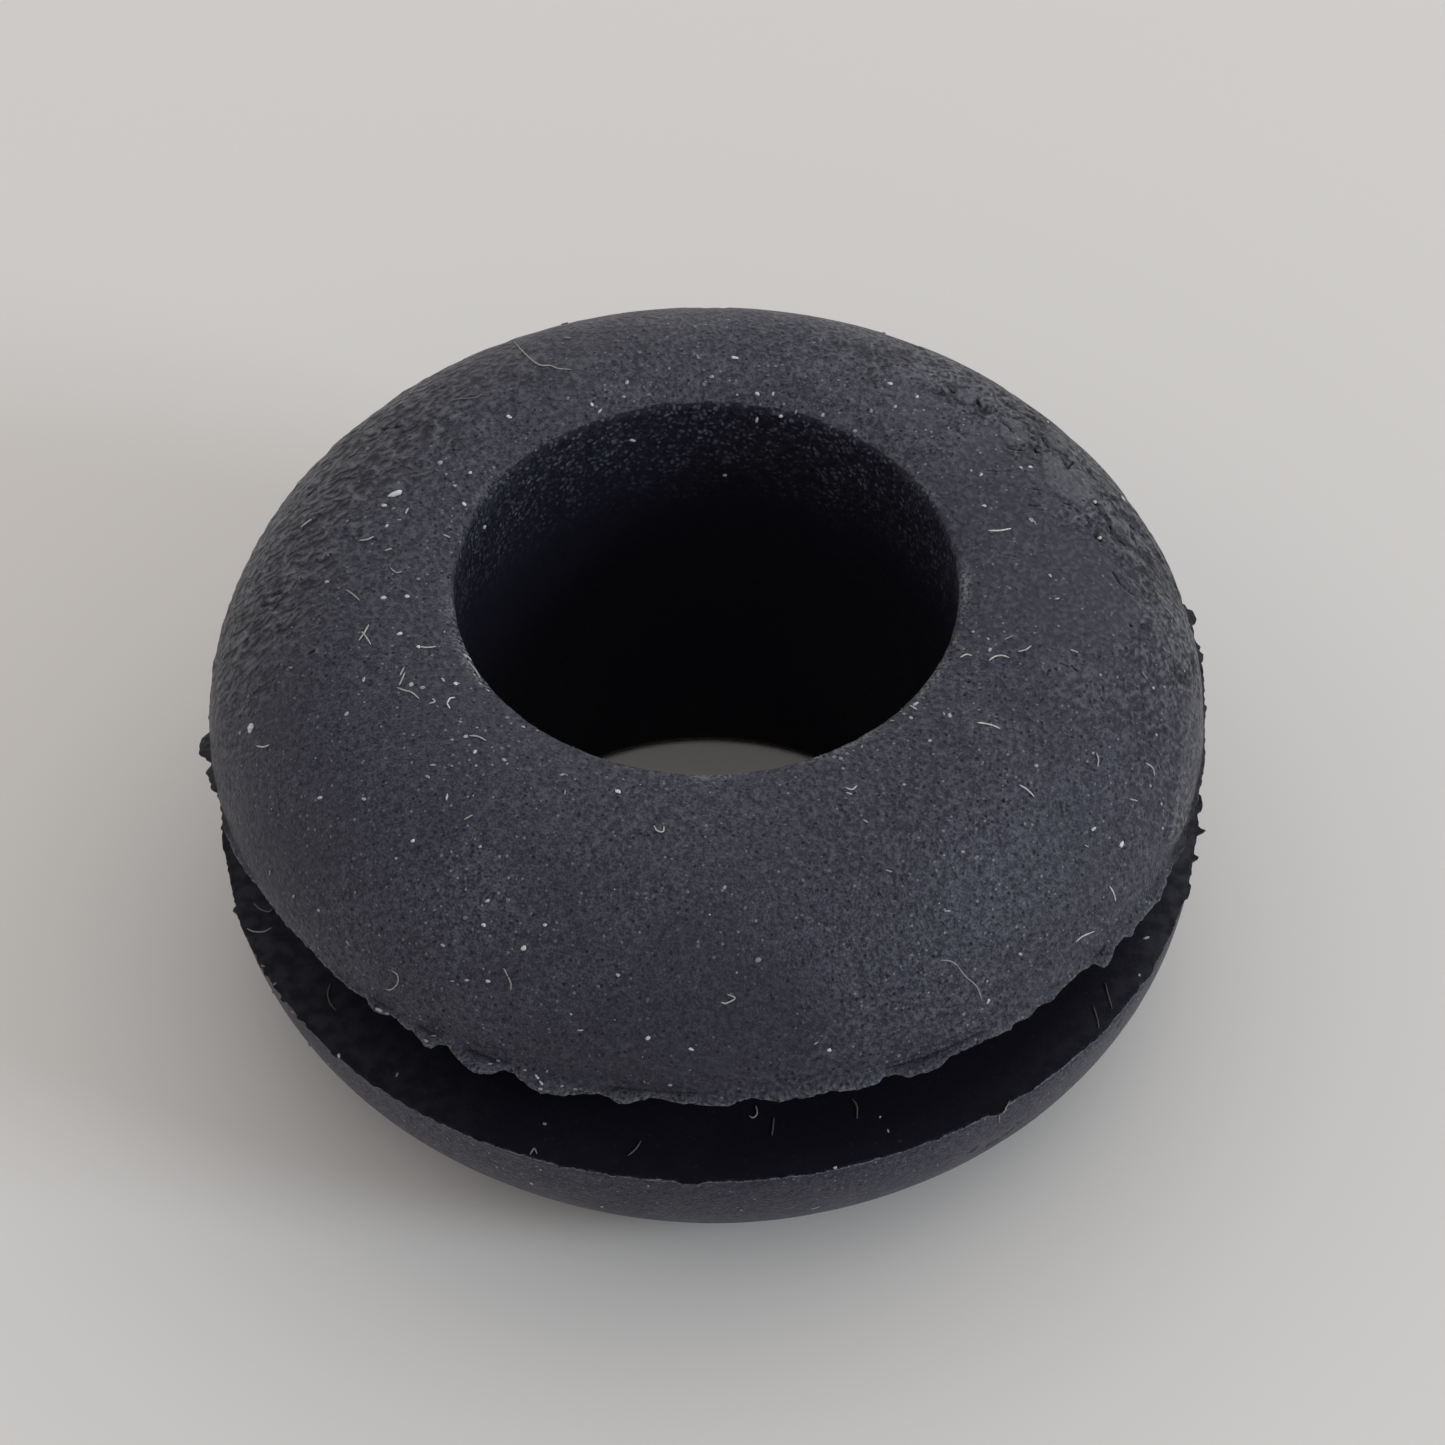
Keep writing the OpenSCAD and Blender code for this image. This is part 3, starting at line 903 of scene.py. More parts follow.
def add_wrinkles(skin, points, share):
    """Short dashes that all run the same way across the skin."""
    run = points @ WRINKLE_AXES
    wrinkles = soft_noise(run, WRINKLE_L, seed=107)
    short = soft_noise(run, SHORT_WRINKLE_L, seed=109)
    hollow = WRINKLE_DARK * ramp(-wrinkles, 0.1, 0.8) + SHORT_WRINKLE_DARK * ramp(-short, 0.3, 0.65)
    pale = SHORT_WRINKLE_PALE * ramp(short, 0.15, 0.7)
    skin.add(share * (WRINKLE * wrinkles + SHORT_WRINKLE * short), share * hollow, share * pale)


def add_folds(skin, points, share):
    """Longer folds that run beside the skyline."""
    folds = soft_noise(points @ FOLD_AXES, FOLD_L, seed=163)
    hollow = FOLD_DARK * ramp(-folds, 0.25, 0.65)
    pale = FOLD_PALE * ramp(folds, 0.1, 0.7)
    skin.add(share * FOLD * folds, share * hollow, share * pale)


def add_flakes(skin, points, share):
    """The pitted skin: its top layer has come away in patches, with pits between them."""
    flakes = soft_noise(points, FLAKE_L, seed=113) + 0.35 * soft_noise(points, 0.25 * MM, seed=127)
    on_flake = ramp(flakes, 0.06, 0.2)
    pits = ramp(soft_noise(points, PIT_L, seed=131), 0.1, 0.6) * (1 - on_flake)
    foot = ramp(flakes, -0.12, 0.02) * (1 - ramp(flakes, 0.02, 0.12))
    hollow = np.maximum(PIT_DARK * pits, FLAKE_FOOT_DARK * foot)
    skin.add(share * (FLAKE * on_flake - PIT * pits), share * hollow, share * FLAKE_PALE * on_flake)


def add_plates(skin, points):
    """Smooth plates with painted shade round their foot and painted highlight on top. Gives how much of each
    point's place is on one.
    """
    depth = plate_depth(points)
    plate = ramp(depth, -PLATE_EDGE_PX / 2, PLATE_EDGE_PX / 2)
    foot = ramp(depth, *PLATE_FOOT_FROM_PX) * (1 - ramp(depth, *PLATE_FOOT_TO_PX))
    foot *= ramp(soft_noise(points, 0.3 * MM, seed=191), -0.1, 0.4)
    skin.off = skin.off * (1 - PLATE_EVENS * plate)
    skin.hollow = skin.hollow * (1 - PLATE_CLEARS * plate)
    skin.add(PLATE_HEIGHT * plate, PLATE_FOOT_DARK * foot, PLATE_PALE * plate)
    return plate


def add_flaws(skin, points, flaws):
    """Cracks and pits with raised lips. They wander a little and change width along their length."""
    on_dome = np.abs(points[:, 2] - MIDDLE_Z) > UPPER_FACE_Z + FIN_ROOT_T - MIDDLE_Z
    shifts = [soft_noise(points, 0.14 * MM, seed=seed) for seed in (149, 150, 151)]
    strayed = points + FLAW_STRAYS * np.stack(shifts, axis=1)
    width = 1 + FLAW_WIDENS * soft_noise(points, 0.22 * MM, seed=157)
    broken = ramp(soft_noise(points, 0.16 * MM, seed=167), -0.35, 0.25)
    for line_points, half_width, depth in flaws:
        near = distance_to_line(strayed, line_points) / (half_width * width)
        cut = on_dome * np.exp(-near ** 2)
        if depth < FAINT_DEPTH:
            cut = cut * broken
        lip = on_dome * np.exp(-((near - LIP_AT) / LIP_W) ** 2)
        # painted shade in the flaw's cut and painted highlight on its raised lips
        dark = np.minimum(1.5 * cut ** 1.7, 1.0) * min(1.0, depth / DARK_DEPTH)
        skin.add(depth * (LIP_H * lip - CUT_DEEPER * cut), dark, FLAW_LIP_PALE * lip)


def add_rim_dents(skin, points):
    """Dents in the bore's upper rim. Gives how worn the rim is at each point, from 0 to 1."""
    from_axis = np.hypot(points[:, 0], points[:, 1])
    from_rim = np.abs(from_axis - BORE_R - RIM_MIDDLE)
    from_rim += RIM_STEEPER * np.maximum(HEIGHT - 2 * RIM_DROP - points[:, 2], 0)
    skin.off += RIM_DENT * soft_noise(points, RIM_DENT_L, seed=179) * (1 - ramp(from_rim, *DENTED_RIM))
    in_places = ramp(soft_noise(points, 0.6 * MM, seed=173), -0.4, 0.5)
    in_places *= 1 - ramp(points[:, 1] / from_axis, *WEAR_BACK)
    return RIM_WEAR * in_places * (1 - ramp(from_rim, *WORN_RIM))


def press(points, flaws):
    """How far the skin stands off its smooth form at each point, in metres, and the masks for its
    material, each from 0 to 1."""
    wrinkled = patch_share(points, WRINKLED)
    pitted = pitted_share(points)
    folded = patch_share(points, FOLDED)
    skin = Relief(points)
    add_wrinkles(skin, points, wrinkled)
    add_folds(skin, points, folded)
    add_flakes(skin, points, pitted)
    plate = add_plates(skin, points)
    add_flaws(skin, points, flaws)
    worn = add_rim_dents(skin, points)
    kept = 1 - EVEN_SKIN_LOSS * patch_share(points, EVEN_SKIN)
    plain = PLAIN_PORES * kept * (points[:, 2] > MIDDLE_Z)
    masks = {
        "hollow": skin.hollow, "pale": skin.pale, "wrinkled": wrinkled, "folded": folded, "worn": worn,
        "rough": np.maximum(pitted * (1 - PLATE_CLEARS * plate), plain),
        "even": SMOOTH_EVENS * patch_share(points, SMOOTH),
        "powder": powder_and_light_share(points), "dusty": groove_light_share(points),
    }
    return skin.off, masks


def finished_ring():
    """The ring's mesh object, with its skin pressed and its shading masks on its points."""
    bm = ring_mesh()
    flaws = flaw_lines(bm)
    refine(bm, flaws)
    shade_far_rim(bm)
    bm.normal_update()
    points = np.array([vertex.co for vertex in bm.verts])
    normals = np.array([vertex.normal for vertex in bm.verts])
    off, masks = press(points, flaws)
    moved = squeezed(points + normals * off[:, None])
    mesh = bpy.data.meshes.new("grommet_ring")
    bm.to_mesh(mesh)
    bm.free()
    mesh.vertices.foreach_set("co", moved.ravel())
    for name, values in masks.items():
        attribute = mesh.attributes.get(name) or mesh.attributes.new(name, "FLOAT", "POINT")
        made = np.zeros(len(points))
        attribute.data.foreach_get("value", made)
        attribute.data.foreach_set("value", np.maximum(made, values))
    mesh.polygons.foreach_set("use_smooth", [True] * len(mesh.polygons))
    mesh.update()
    ring = bpy.data.objects.new("grommet_ring", mesh)
    bpy.context.scene.collection.objects.link(ring)
    return ring


ring = finished_ring()


# ---------------------------------------------------------------- materials
# colours of the rubber: painted shade in its hollows, bare, powdered, and worn, which also serves as painted
# highlight on its tops
SHADE_BLACK = (0.002, 0.002, 0.003, 1)
BARE_RUBBER = (0.0125, 0.0110, 0.0200, 1)
POWDERED_RUBBER = (0.064, 0.063, 0.083, 1)
WORN_AND_LIT_SKIN = (0.125, 0.125, 0.130, 1)
WORN_GROOVE = (0.05, 0.05, 0.055, 1)
WORN_BORE = (0.060, 0.060, 0.072, 1)
BORE_BLACK = (0.002, 0.002, 0.004, 1)
# and of what lies on it
POWDER_FLECK = (0.24, 0.24, 0.25, 1)
GROOVE_SCRATCH = (0.030, 0.030, 0.036, 1)
# painted light where light reaches into the groove near its lower lip
GROOVE_LIT = (0.045, 0.044, 0.051, 1)
BORE_FLECK = (0.120, 0.120, 0.155, 1)
# each surface's bump: how high its finest relief stands
SKIN_BUMP = 0.035 * MM
GROOVE_BUMP = 0.015 * MM
BORE_BUMP = 0.03 * MM
# the skin's wrinkles, folds and pores are this much higher than its grain
RELIEF_BUMP = 3.5
# lengths of the wrinkles, folds and pores in mm along their own axes
WRINKLE_SIZES = (0.18, 0.085, 0.26)
FOLD_SIZES = (0.32, 0.10, 0.30)
PORE_SIZES = (0.10, 0.10, 0.22)
# the flecks of painted shade in pits are shifted by this, so that they don't fall on the powder's
PITS_SHIFT = (3.7, 8.1, 5.3)
# scratches round the groove in one radian
SCRATCHES = 45.0


class Nodes:
    """Adds nodes to one node tree and links them."""

    def __init__(self, tree):
        self.tree = tree

    def feed(self, node, inputs):
        """Sets a node's sockets, each to a value or to the socket that feeds it."""
        for name, value in inputs.items():
            if isinstance(value, bpy.types.NodeSocket):
                self.tree.links.new(value, node.inputs[name])
            else:
                node.inputs[name].default_value = value

    def add(self, kind, inputs=None, **options):
        """A new shader node of that kind."""
        node = self.tree.nodes.new("ShaderNode" + kind)
        for name, value in options.items():
            setattr(node, name, value)
        self.feed(node, inputs or {})
        return node

    def math(self, operation, *values, clamp=False):
        """The result of a Math node."""
        node = self.add("Math", dict(enumerate(values)), operation=operation, use_clamp=clamp)
        return node.outputs[0]

    def between(self, value, low, high, to_low=0.0, to_high=1.0):
        """value carried smoothly from the range low..high to the range to_low..to_high."""
        ends = {"Value": value, "From Min": low, "From Max": high, "To Min": to_low, "To Max": to_high}
        return self.add("MapRange", ends, interpolation_type="SMOOTHSTEP").outputs["Result"]

    def blend(self, share, low, high):
        """The colour low where share is 0, high where it is 1, and a mix between."""
        return self.add("Mix", {0: share, 6: low, 7: high}, data_type="RGBA").outputs[2]

    def scaled(self, vector, scale):
        """A vector times a number."""
        return self.add("VectorMath", {0: vector, "Scale": scale}, operation="SCALE").outputs[0]

    def noise(self, place, scale, detail=0.0):
        """Smooth noise about 0.5."""
        return self.add("TexNoise", {"Vector": place, "Scale": scale, "Detail": detail}).outputs["Fac"]

    def stretched(self, place, axes, sizes):
        """Place measured along those axes, each in its own unit of length."""
        ends = {"Vector": place, "Rotation": Matrix(axes).to_euler(), "Scale": sizes}
        return self.add("Mapping", ends, vector_type="TEXTURE").outputs[0]

    def strayed(self, place, size, reach):
        """Place moved to and fro by noise of that size, so that what is laid over it isn't regular."""
        noise = self.add("TexNoise", {"Vector": place, "Scale": 1 / size, "Detail": 0.0}).outputs["Color"]
        centred = self.add("VectorMath", {0: noise, 1: (0.5, 0.5, 0.5)}, operation="SUBTRACT").outputs[0]
        moved = {0: centred, 1: (2 * reach, 2 * reach, 2 * reach), 2: place}
        return self.add("VectorMath", moved, operation="MULTIPLY_ADD").outputs[0]

    def most(self, values):
        """The largest of the values."""
        largest = values[0]
        for value in values[1:]:
            largest = self.math("MAXIMUM", largest, value)
        return largest

    def mask(self, name):
        """A mask from the mesh's points."""
        return self.add("Attribute", attribute_name=name).outputs["Fac"]

    def feed_shader(self, shader, colour, roughness, height, bump_height):
        """Feeds the shader its colour, its roughness and a bump."""
        bump = self.add("Bump", {"Height": height, "Distance": bump_height, "Strength": 1.0})
        self.feed(shader, {"Base Color": colour, "Roughness": roughness, "Normal": bump.outputs["Normal"]})

    def group(self, tree, inputs):
        """A node of a node group."""
        node = self.add("Group")
        node.node_tree = tree
        self.feed(node, inputs)
        return node


def new_group(name, inputs, outputs):
    """An empty node group with those sockets, its Nodes, and its input and output nodes."""
    tree = bpy.data.node_groups.new(name, "ShaderNodeTree")
    for socket, (kind, value) in inputs.items():
        made = tree.interface.new_socket(socket, in_out="INPUT", socket_type="NodeSocket" + kind)
        if value is not None:
            made.default_value = value
    for socket, kind in outputs.items():
        tree.interface.new_socket(socket, in_out="OUTPUT", socket_type="NodeSocket" + kind)
    given = tree.nodes.new("NodeGroupInput").outputs
    return tree, Nodes(tree), given, tree.nodes.new("NodeGroupOutput")


def make_grain_group():
    """Fine uneven grain. Place is in mm, Size is the grain's, and Height runs from 0 to 1."""
    tree, nodes, given, result = new_group(
        "surface grain",
        {"Place": ("Vector", None), "Size": ("Float", 0.08)},
        {"Height": "Float", "Mottle": "Float"},
    )
    finer = nodes.math("DIVIDE", 1.0, given["Size"])
    fine = nodes.noise(given["Place"], finer, 1.0)
    coarse = nodes.noise(given["Place"], nodes.math("MULTIPLY", finer, 0.36), 1.0)
    height = nodes.math("MULTIPLY_ADD", coarse, 0.4, nodes.math("MULTIPLY", fine, 0.6))
    mottle = nodes.between(nodes.noise(given["Place"], 0.45, 3.0), 0.35, 0.65)
    nodes.feed(result, {"Height": height, "Mottle": mottle})
    return tree


def make_relief_group():
    """Wrinkles, folds or pores. Share is how much of them there is. Height is theirs, Dark is the painted
    shade in their hollows and Light the painted highlight on their tops."""
    tree, nodes, given, result = new_group(
        "skin relief",
        {"Place": ("Vector", None), "Share": ("Float", 1.0)},
        {"Height": "Float", "Dark": "Float", "Light": "Float"},
    )
    height = nodes.noise(given["Place"], 1.0)
    dark = nodes.between(height, 0.34, 0.44, 1.0, 0.0)
    light = nodes.between(height, 0.56, 0.68)
    made = {"Height": height, "Dark": dark, "Light": light}
    nodes.feed(result, {name: nodes.math("MULTIPLY", value, given["Share"]) for name, value in made.items()})
    return tree


def make_fleck_group():
    """Small flecks. Mask is 0 between them, and up to 1 on the strongest. The more Rarity there is,
    the fewer are strong."""
    tree, nodes, given, result = new_group(
        "dust flecks",
        {
            "Place": ("Vector", None), "Spacing": ("Float", 0.3), "Radius": ("Float", 0.03),
            "Rarity": ("Float", 2.5),
        },
        {"Mask": "Float"},
    )
    scale = nodes.math("DIVIDE", 1.0, given["Spacing"])
    cells = nodes.add("TexVoronoi", {"Vector": given["Place"], "Scale": scale})
    reach = nodes.math("MULTIPLY", given["Radius"], scale)
    dot = nodes.between(nodes.math("DIVIDE", cells.outputs["Distance"], reach), 0.5, 1.0, 1.0, 0.0)
    chance = nodes.add("SeparateColor", {"Color": cells.outputs["Color"]}).outputs["Red"]
    strength = nodes.math("POWER", chance, given["Rarity"])
    nodes.feed(result, {"Mask": nodes.math("MULTIPLY", dot, strength)})
    return tree


def make_wear_group():
    """Wear broken up by noise. Worn is how worn the place is, Fineness the noise's bumps in a mm, and
    Mask what shows: nothing where the noise is under Low, all of it over High."""
    tree, nodes, given, result = new_group(
        "edge wear",
        {
            "Place": ("Vector", None), "Worn": ("Float", 1.0), "Fineness": ("Float", 15.0),
            "Low": ("Float", 0.4), "High": ("Float", 0.6),
        },
        {"Mask": "Float"},
    )
    noise = nodes.noise(given["Place"], given["Fineness"], 1.0)
    broken = nodes.between(noise, given["Low"], given["High"])
    nodes.feed(result, {"Mask": nodes.math("MULTIPLY", given["Worn"], broken)})
    return tree


def make_powder_group(grain, flecks):
    """Black rubber with a thin pale powder on its grain. Powder is how much lies there, and on the skin it is
    also raised and lowered as painted light and shade. Glow is how light the flecks in it are, Even how far
    the grain is smoothed away, and Height the grain's."""
    tree, nodes, given, result = new_group(
        "powdered rubber",
        {
            "Place": ("Vector", None), "Size": ("Float", 0.05), "Powder": ("Float", 1.0),
            "Glow": ("Float", 1.0), "Even": ("Float", 0.0),
        },
        {"Color": "Color", "Height": "Float", "Mottle": "Float"},
    )
    surface = nodes.group(grain, {"Place": given["Place"], "Size": given["Size"]})
    height, mottle = surface.outputs["Height"], surface.outputs["Mottle"]
    height = nodes.math("MULTIPLY_ADD", nodes.math("SUBTRACT", 0.5, height), given["Even"], height)
    clinging = nodes.between(height, 0.34, 0.74)
    thinner = nodes.math("MULTIPLY_ADD", mottle, 0.25, 0.75)
    powder = nodes.math("MULTIPLY", clinging, nodes.math("MULTIPLY", thinner, given["Powder"]))
    colour = nodes.blend(powder, BARE_RUBBER, POWDERED_RUBBER)
    place = given["Place"]
    small = nodes.group(flecks, {"Place": place, "Spacing": 0.15, "Radius": 0.034, "Rarity": 1.4})
    large = nodes.group(flecks, {"Place": place, "Spacing": 0.6, "Radius": 0.050, "Rarity": 3.0})
    dots = nodes.math("MULTIPLY", small.outputs["Mask"], 0.62)
    dots = nodes.math("MAXIMUM", dots, nodes.math("MULTIPLY", large.outputs["Mask"], 0.9))
    dots = nodes.math("MULTIPLY", dots, nodes.math("MULTIPLY", given["Glow"], given["Powder"]), clamp=True)
    colour = nodes.blend(dots, colour, POWDER_FLECK)
    nodes.feed(result, {"Color": colour, "Height": height, "Mottle": mottle})
    return tree


GRAIN = make_grain_group()
RELIEF = make_relief_group()
FLECKS = make_fleck_group()
WEAR = make_wear_group()
POWDER = make_powder_group(GRAIN, FLECKS)


def new_material(name):
    """A material, its Nodes, its shader and the object's own coordinates in mm."""
    material = bpy.data.materials.new(name)
    material.use_nodes = True
    nodes = Nodes(material.node_tree)
    shader = material.node_tree.nodes["Principled BSDF"]
    place = nodes.scaled(nodes.add("TexCoord").outputs["Object"], 1 / MM)
    return material, nodes, shader, place


def skin_rubber():
    """The moulded outside: matte, powdery, wrinkled and pitted where the masks say so, with painted shade in
    its hollows, creases and pits and painted highlight on its tops.
    """
    material, nodes, shader, place = new_material("moulded rubber")
    even = nodes.mask("even")
    powdered = {"Place": place, "Size": 0.045, "Powder": nodes.mask("powder"), "Glow": 1.0, "Even": even}
    body = nodes.group(POWDER, powdered)
    strayed = nodes.strayed(place, 0.3, 0.07)
    along_wrinkles = nodes.stretched(strayed, WRINKLE_AXES, WRINKLE_SIZES)
    wrinkles = nodes.group(RELIEF, {"Place": along_wrinkles, "Share": nodes.mask("wrinkled")})
    along_folds = nodes.stretched(strayed, FOLD_AXES, FOLD_SIZES)
    folds = nodes.group(RELIEF, {"Place": along_folds, "Share": nodes.mask("folded")})
    into_skin = nodes.stretched(strayed, WRINKLE_AXES, PORE_SIZES)
    pores = nodes.group(RELIEF, {"Place": into_skin, "Share": nodes.mask("rough")})
    reliefs = (wrinkles, folds, pores)
    # dark flecks painted as shade in pits
    elsewhere = nodes.add("VectorMath", {0: place, 1: PITS_SHIFT}, operation="ADD").outputs[0]
    pits = nodes.group(FLECKS, {"Place": elsewhere, "Spacing": 0.14, "Radius": 0.048, "Rarity": 1.0})
    pit_shade = nodes.math("MULTIPLY_ADD", nodes.mask("rough"), 1.6, nodes.math("SUBTRACT", 0.9, even))
    pit_shade = nodes.math("MULTIPLY", pits.outputs["Mask"], pit_shade, clamp=True)
    wear = {"Place": place, "Worn": nodes.mask("worn"), "Fineness": 1 / 0.065, "Low": 0.45, "High": 0.58}
    worn = nodes.group(WEAR, wear)
    # painted shade in the hollows, creases and pits, and painted highlight on the tops, which shares its
    # colour with the wear
    dark = nodes.most([relief.outputs["Dark"] for relief in reliefs])
    dark = nodes.most([nodes.math("MULTIPLY", dark, 0.9), nodes.mask("hollow"), pit_shade])
    light = nodes.most([relief.outputs["Light"] for relief in reliefs])
    light = nodes.math("MULTIPLY_ADD", light, 0.55, nodes.mask("pale"))
    light = nodes.math("MAXIMUM", light, worn.outputs["Mask"], clamp=True)
    colour = nodes.blend(light, body.outputs["Color"], WORN_AND_LIT_SKIN)
    colour = nodes.blend(dark, colour, SHADE_BLACK)
    roughness = nodes.between(body.outputs["Mottle"], 0.0, 1.0, 0.46, 0.57)
    height = nodes.math("ADD", wrinkles.outputs["Height"], pores.outputs["Height"])
    height = nodes.math("ADD", height, folds.outputs["Height"])
    height = nodes.math("MULTIPLY_ADD", height, RELIEF_BUMP, body.outputs["Height"])
    nodes.feed_shader(shader, colour, roughness, height, SKIN_BUMP)
    shader.inputs["IOR"].default_value = 1.32
    shader.inputs["Sheen Weight"].default_value = 0.05
    shader.inputs["Sheen Roughness"].default_value = 0.4
    return material


def groove_rubber():
    """The groove's inside: clean black rubber with fine scratches that run in towards the root, darkened
    further, partly as painted shade between the flanges, with painted light near the lower lip, strongest at
    the sides.
    """
    material, nodes, shader, place = new_material("groove rubber")
    body = nodes.group(POWDER, {"Place": place, "Size": 0.07, "Powder": 0.05, "Glow": 3.0})
    split = nodes.add("SeparateXYZ", {"Vector": place}).outputs
    turn = nodes.math("ARCTAN2", split["Y"], split["X"])
    lines = nodes.add("CombineXYZ", {"X": nodes.math("MULTIPLY", turn, SCRATCHES), "Y": 0.0, "Z": split["Z"]})
    scratch = nodes.between(nodes.noise(lines.outputs[0], 1.6, 2.0), 0.63, 0.78)
    broken = nodes.between(nodes.noise(place, 0.9, 1.0), 0.45, 0.62)
    scratch = nodes.math("MULTIPLY", scratch, broken)
    # the groove's rubber is darkened towards black, partly as painted shade between the flanges
    colour = nodes.blend(0.6, body.outputs["Color"], SHADE_BLACK)
    colour = nodes.blend(nodes.math("MULTIPLY", scratch, 0.45), colour, GROOVE_SCRATCH)
    # painted light near the lower lip, where light reaches into the groove
    uneven = nodes.between(nodes.noise(place, 3.5, 3.0), 0.35, 0.65, 0.35, 1.0)
    dusty = nodes.math("MULTIPLY", nodes.mask("dusty"), uneven)
    colour = nodes.blend(dusty, colour, GROOVE_LIT)
    worn = nodes.group(WEAR, {"Place": place, "Worn": nodes.mask("worn"), "Fineness": 14.0})
    colour = nodes.blend(worn.outputs["Mask"], colour, WORN_GROOVE)
    roughness = nodes.between(body.outputs["Mottle"], 0.0, 1.0, 0.6, 0.72)
    height = nodes.math("MULTIPLY_ADD", scratch, 0.5, body.outputs["Height"])
    nodes.feed_shader(shader, colour, roughness, height, GROOVE_BUMP)
    shader.inputs["IOR"].default_value = 1.18
    return material


def bore_rubber():
    """The bore's wall: black, with powder only near its upper rim."""
    material, nodes, shader, place = new_material("bore rubber")
    height_up = nodes.add("SeparateXYZ", {"Vector": place}).outputs["Z"]
    above_middle = nodes.math("SUBTRACT", height_up, MIDDLE_Z / MM)
    patchy = nodes.math("MULTIPLY_ADD", nodes.noise(place, 1.1, 2.0), 1.6, above_middle)
    near_rim = nodes.between(patchy, 2.6, 5.4, 0.0, 0.75)
    body = nodes.group(POWDER, {"Place": place, "Size": 0.06, "Powder": near_rim, "Glow": 1.4})
    colour = nodes.blend(0.6, body.outputs["Color"], BORE_BLACK)
    strayed = nodes.strayed(place, 0.25, 0.08)
    dots = nodes.group(FLECKS, {"Place": strayed, "Spacing": 0.11, "Radius": 0.056, "Rarity": 1.0})
    gathered = nodes.between(nodes.noise(place, 1 / 0.7, 1.0), 0.35, 0.6, 0.5, 1.0)
    speckle = nodes.math("MULTIPLY", dots.outputs["Mask"], nodes.math("MULTIPLY", near_rim, gathered))
    colour = nodes.blend(speckle, colour, BORE_FLECK)
    worn = nodes.group(WEAR, {"Place": place, "Worn": nodes.mask("worn"), "Fineness": 16.0})
    colour = nodes.blend(worn.outputs["Mask"], colour, WORN_BORE)
    roughness = nodes.between(body.outputs["Mottle"], 0.0, 1.0, 0.62, 0.76)
    nodes.feed_shader(shader, colour, roughness, body.outputs["Height"], BORE_BUMP)
    shader.inputs["IOR"].default_value = 1.2
    return material


for material in (skin_rubber(), groove_rubber(), bore_rubber()):
    ring.data.materials.append(material)


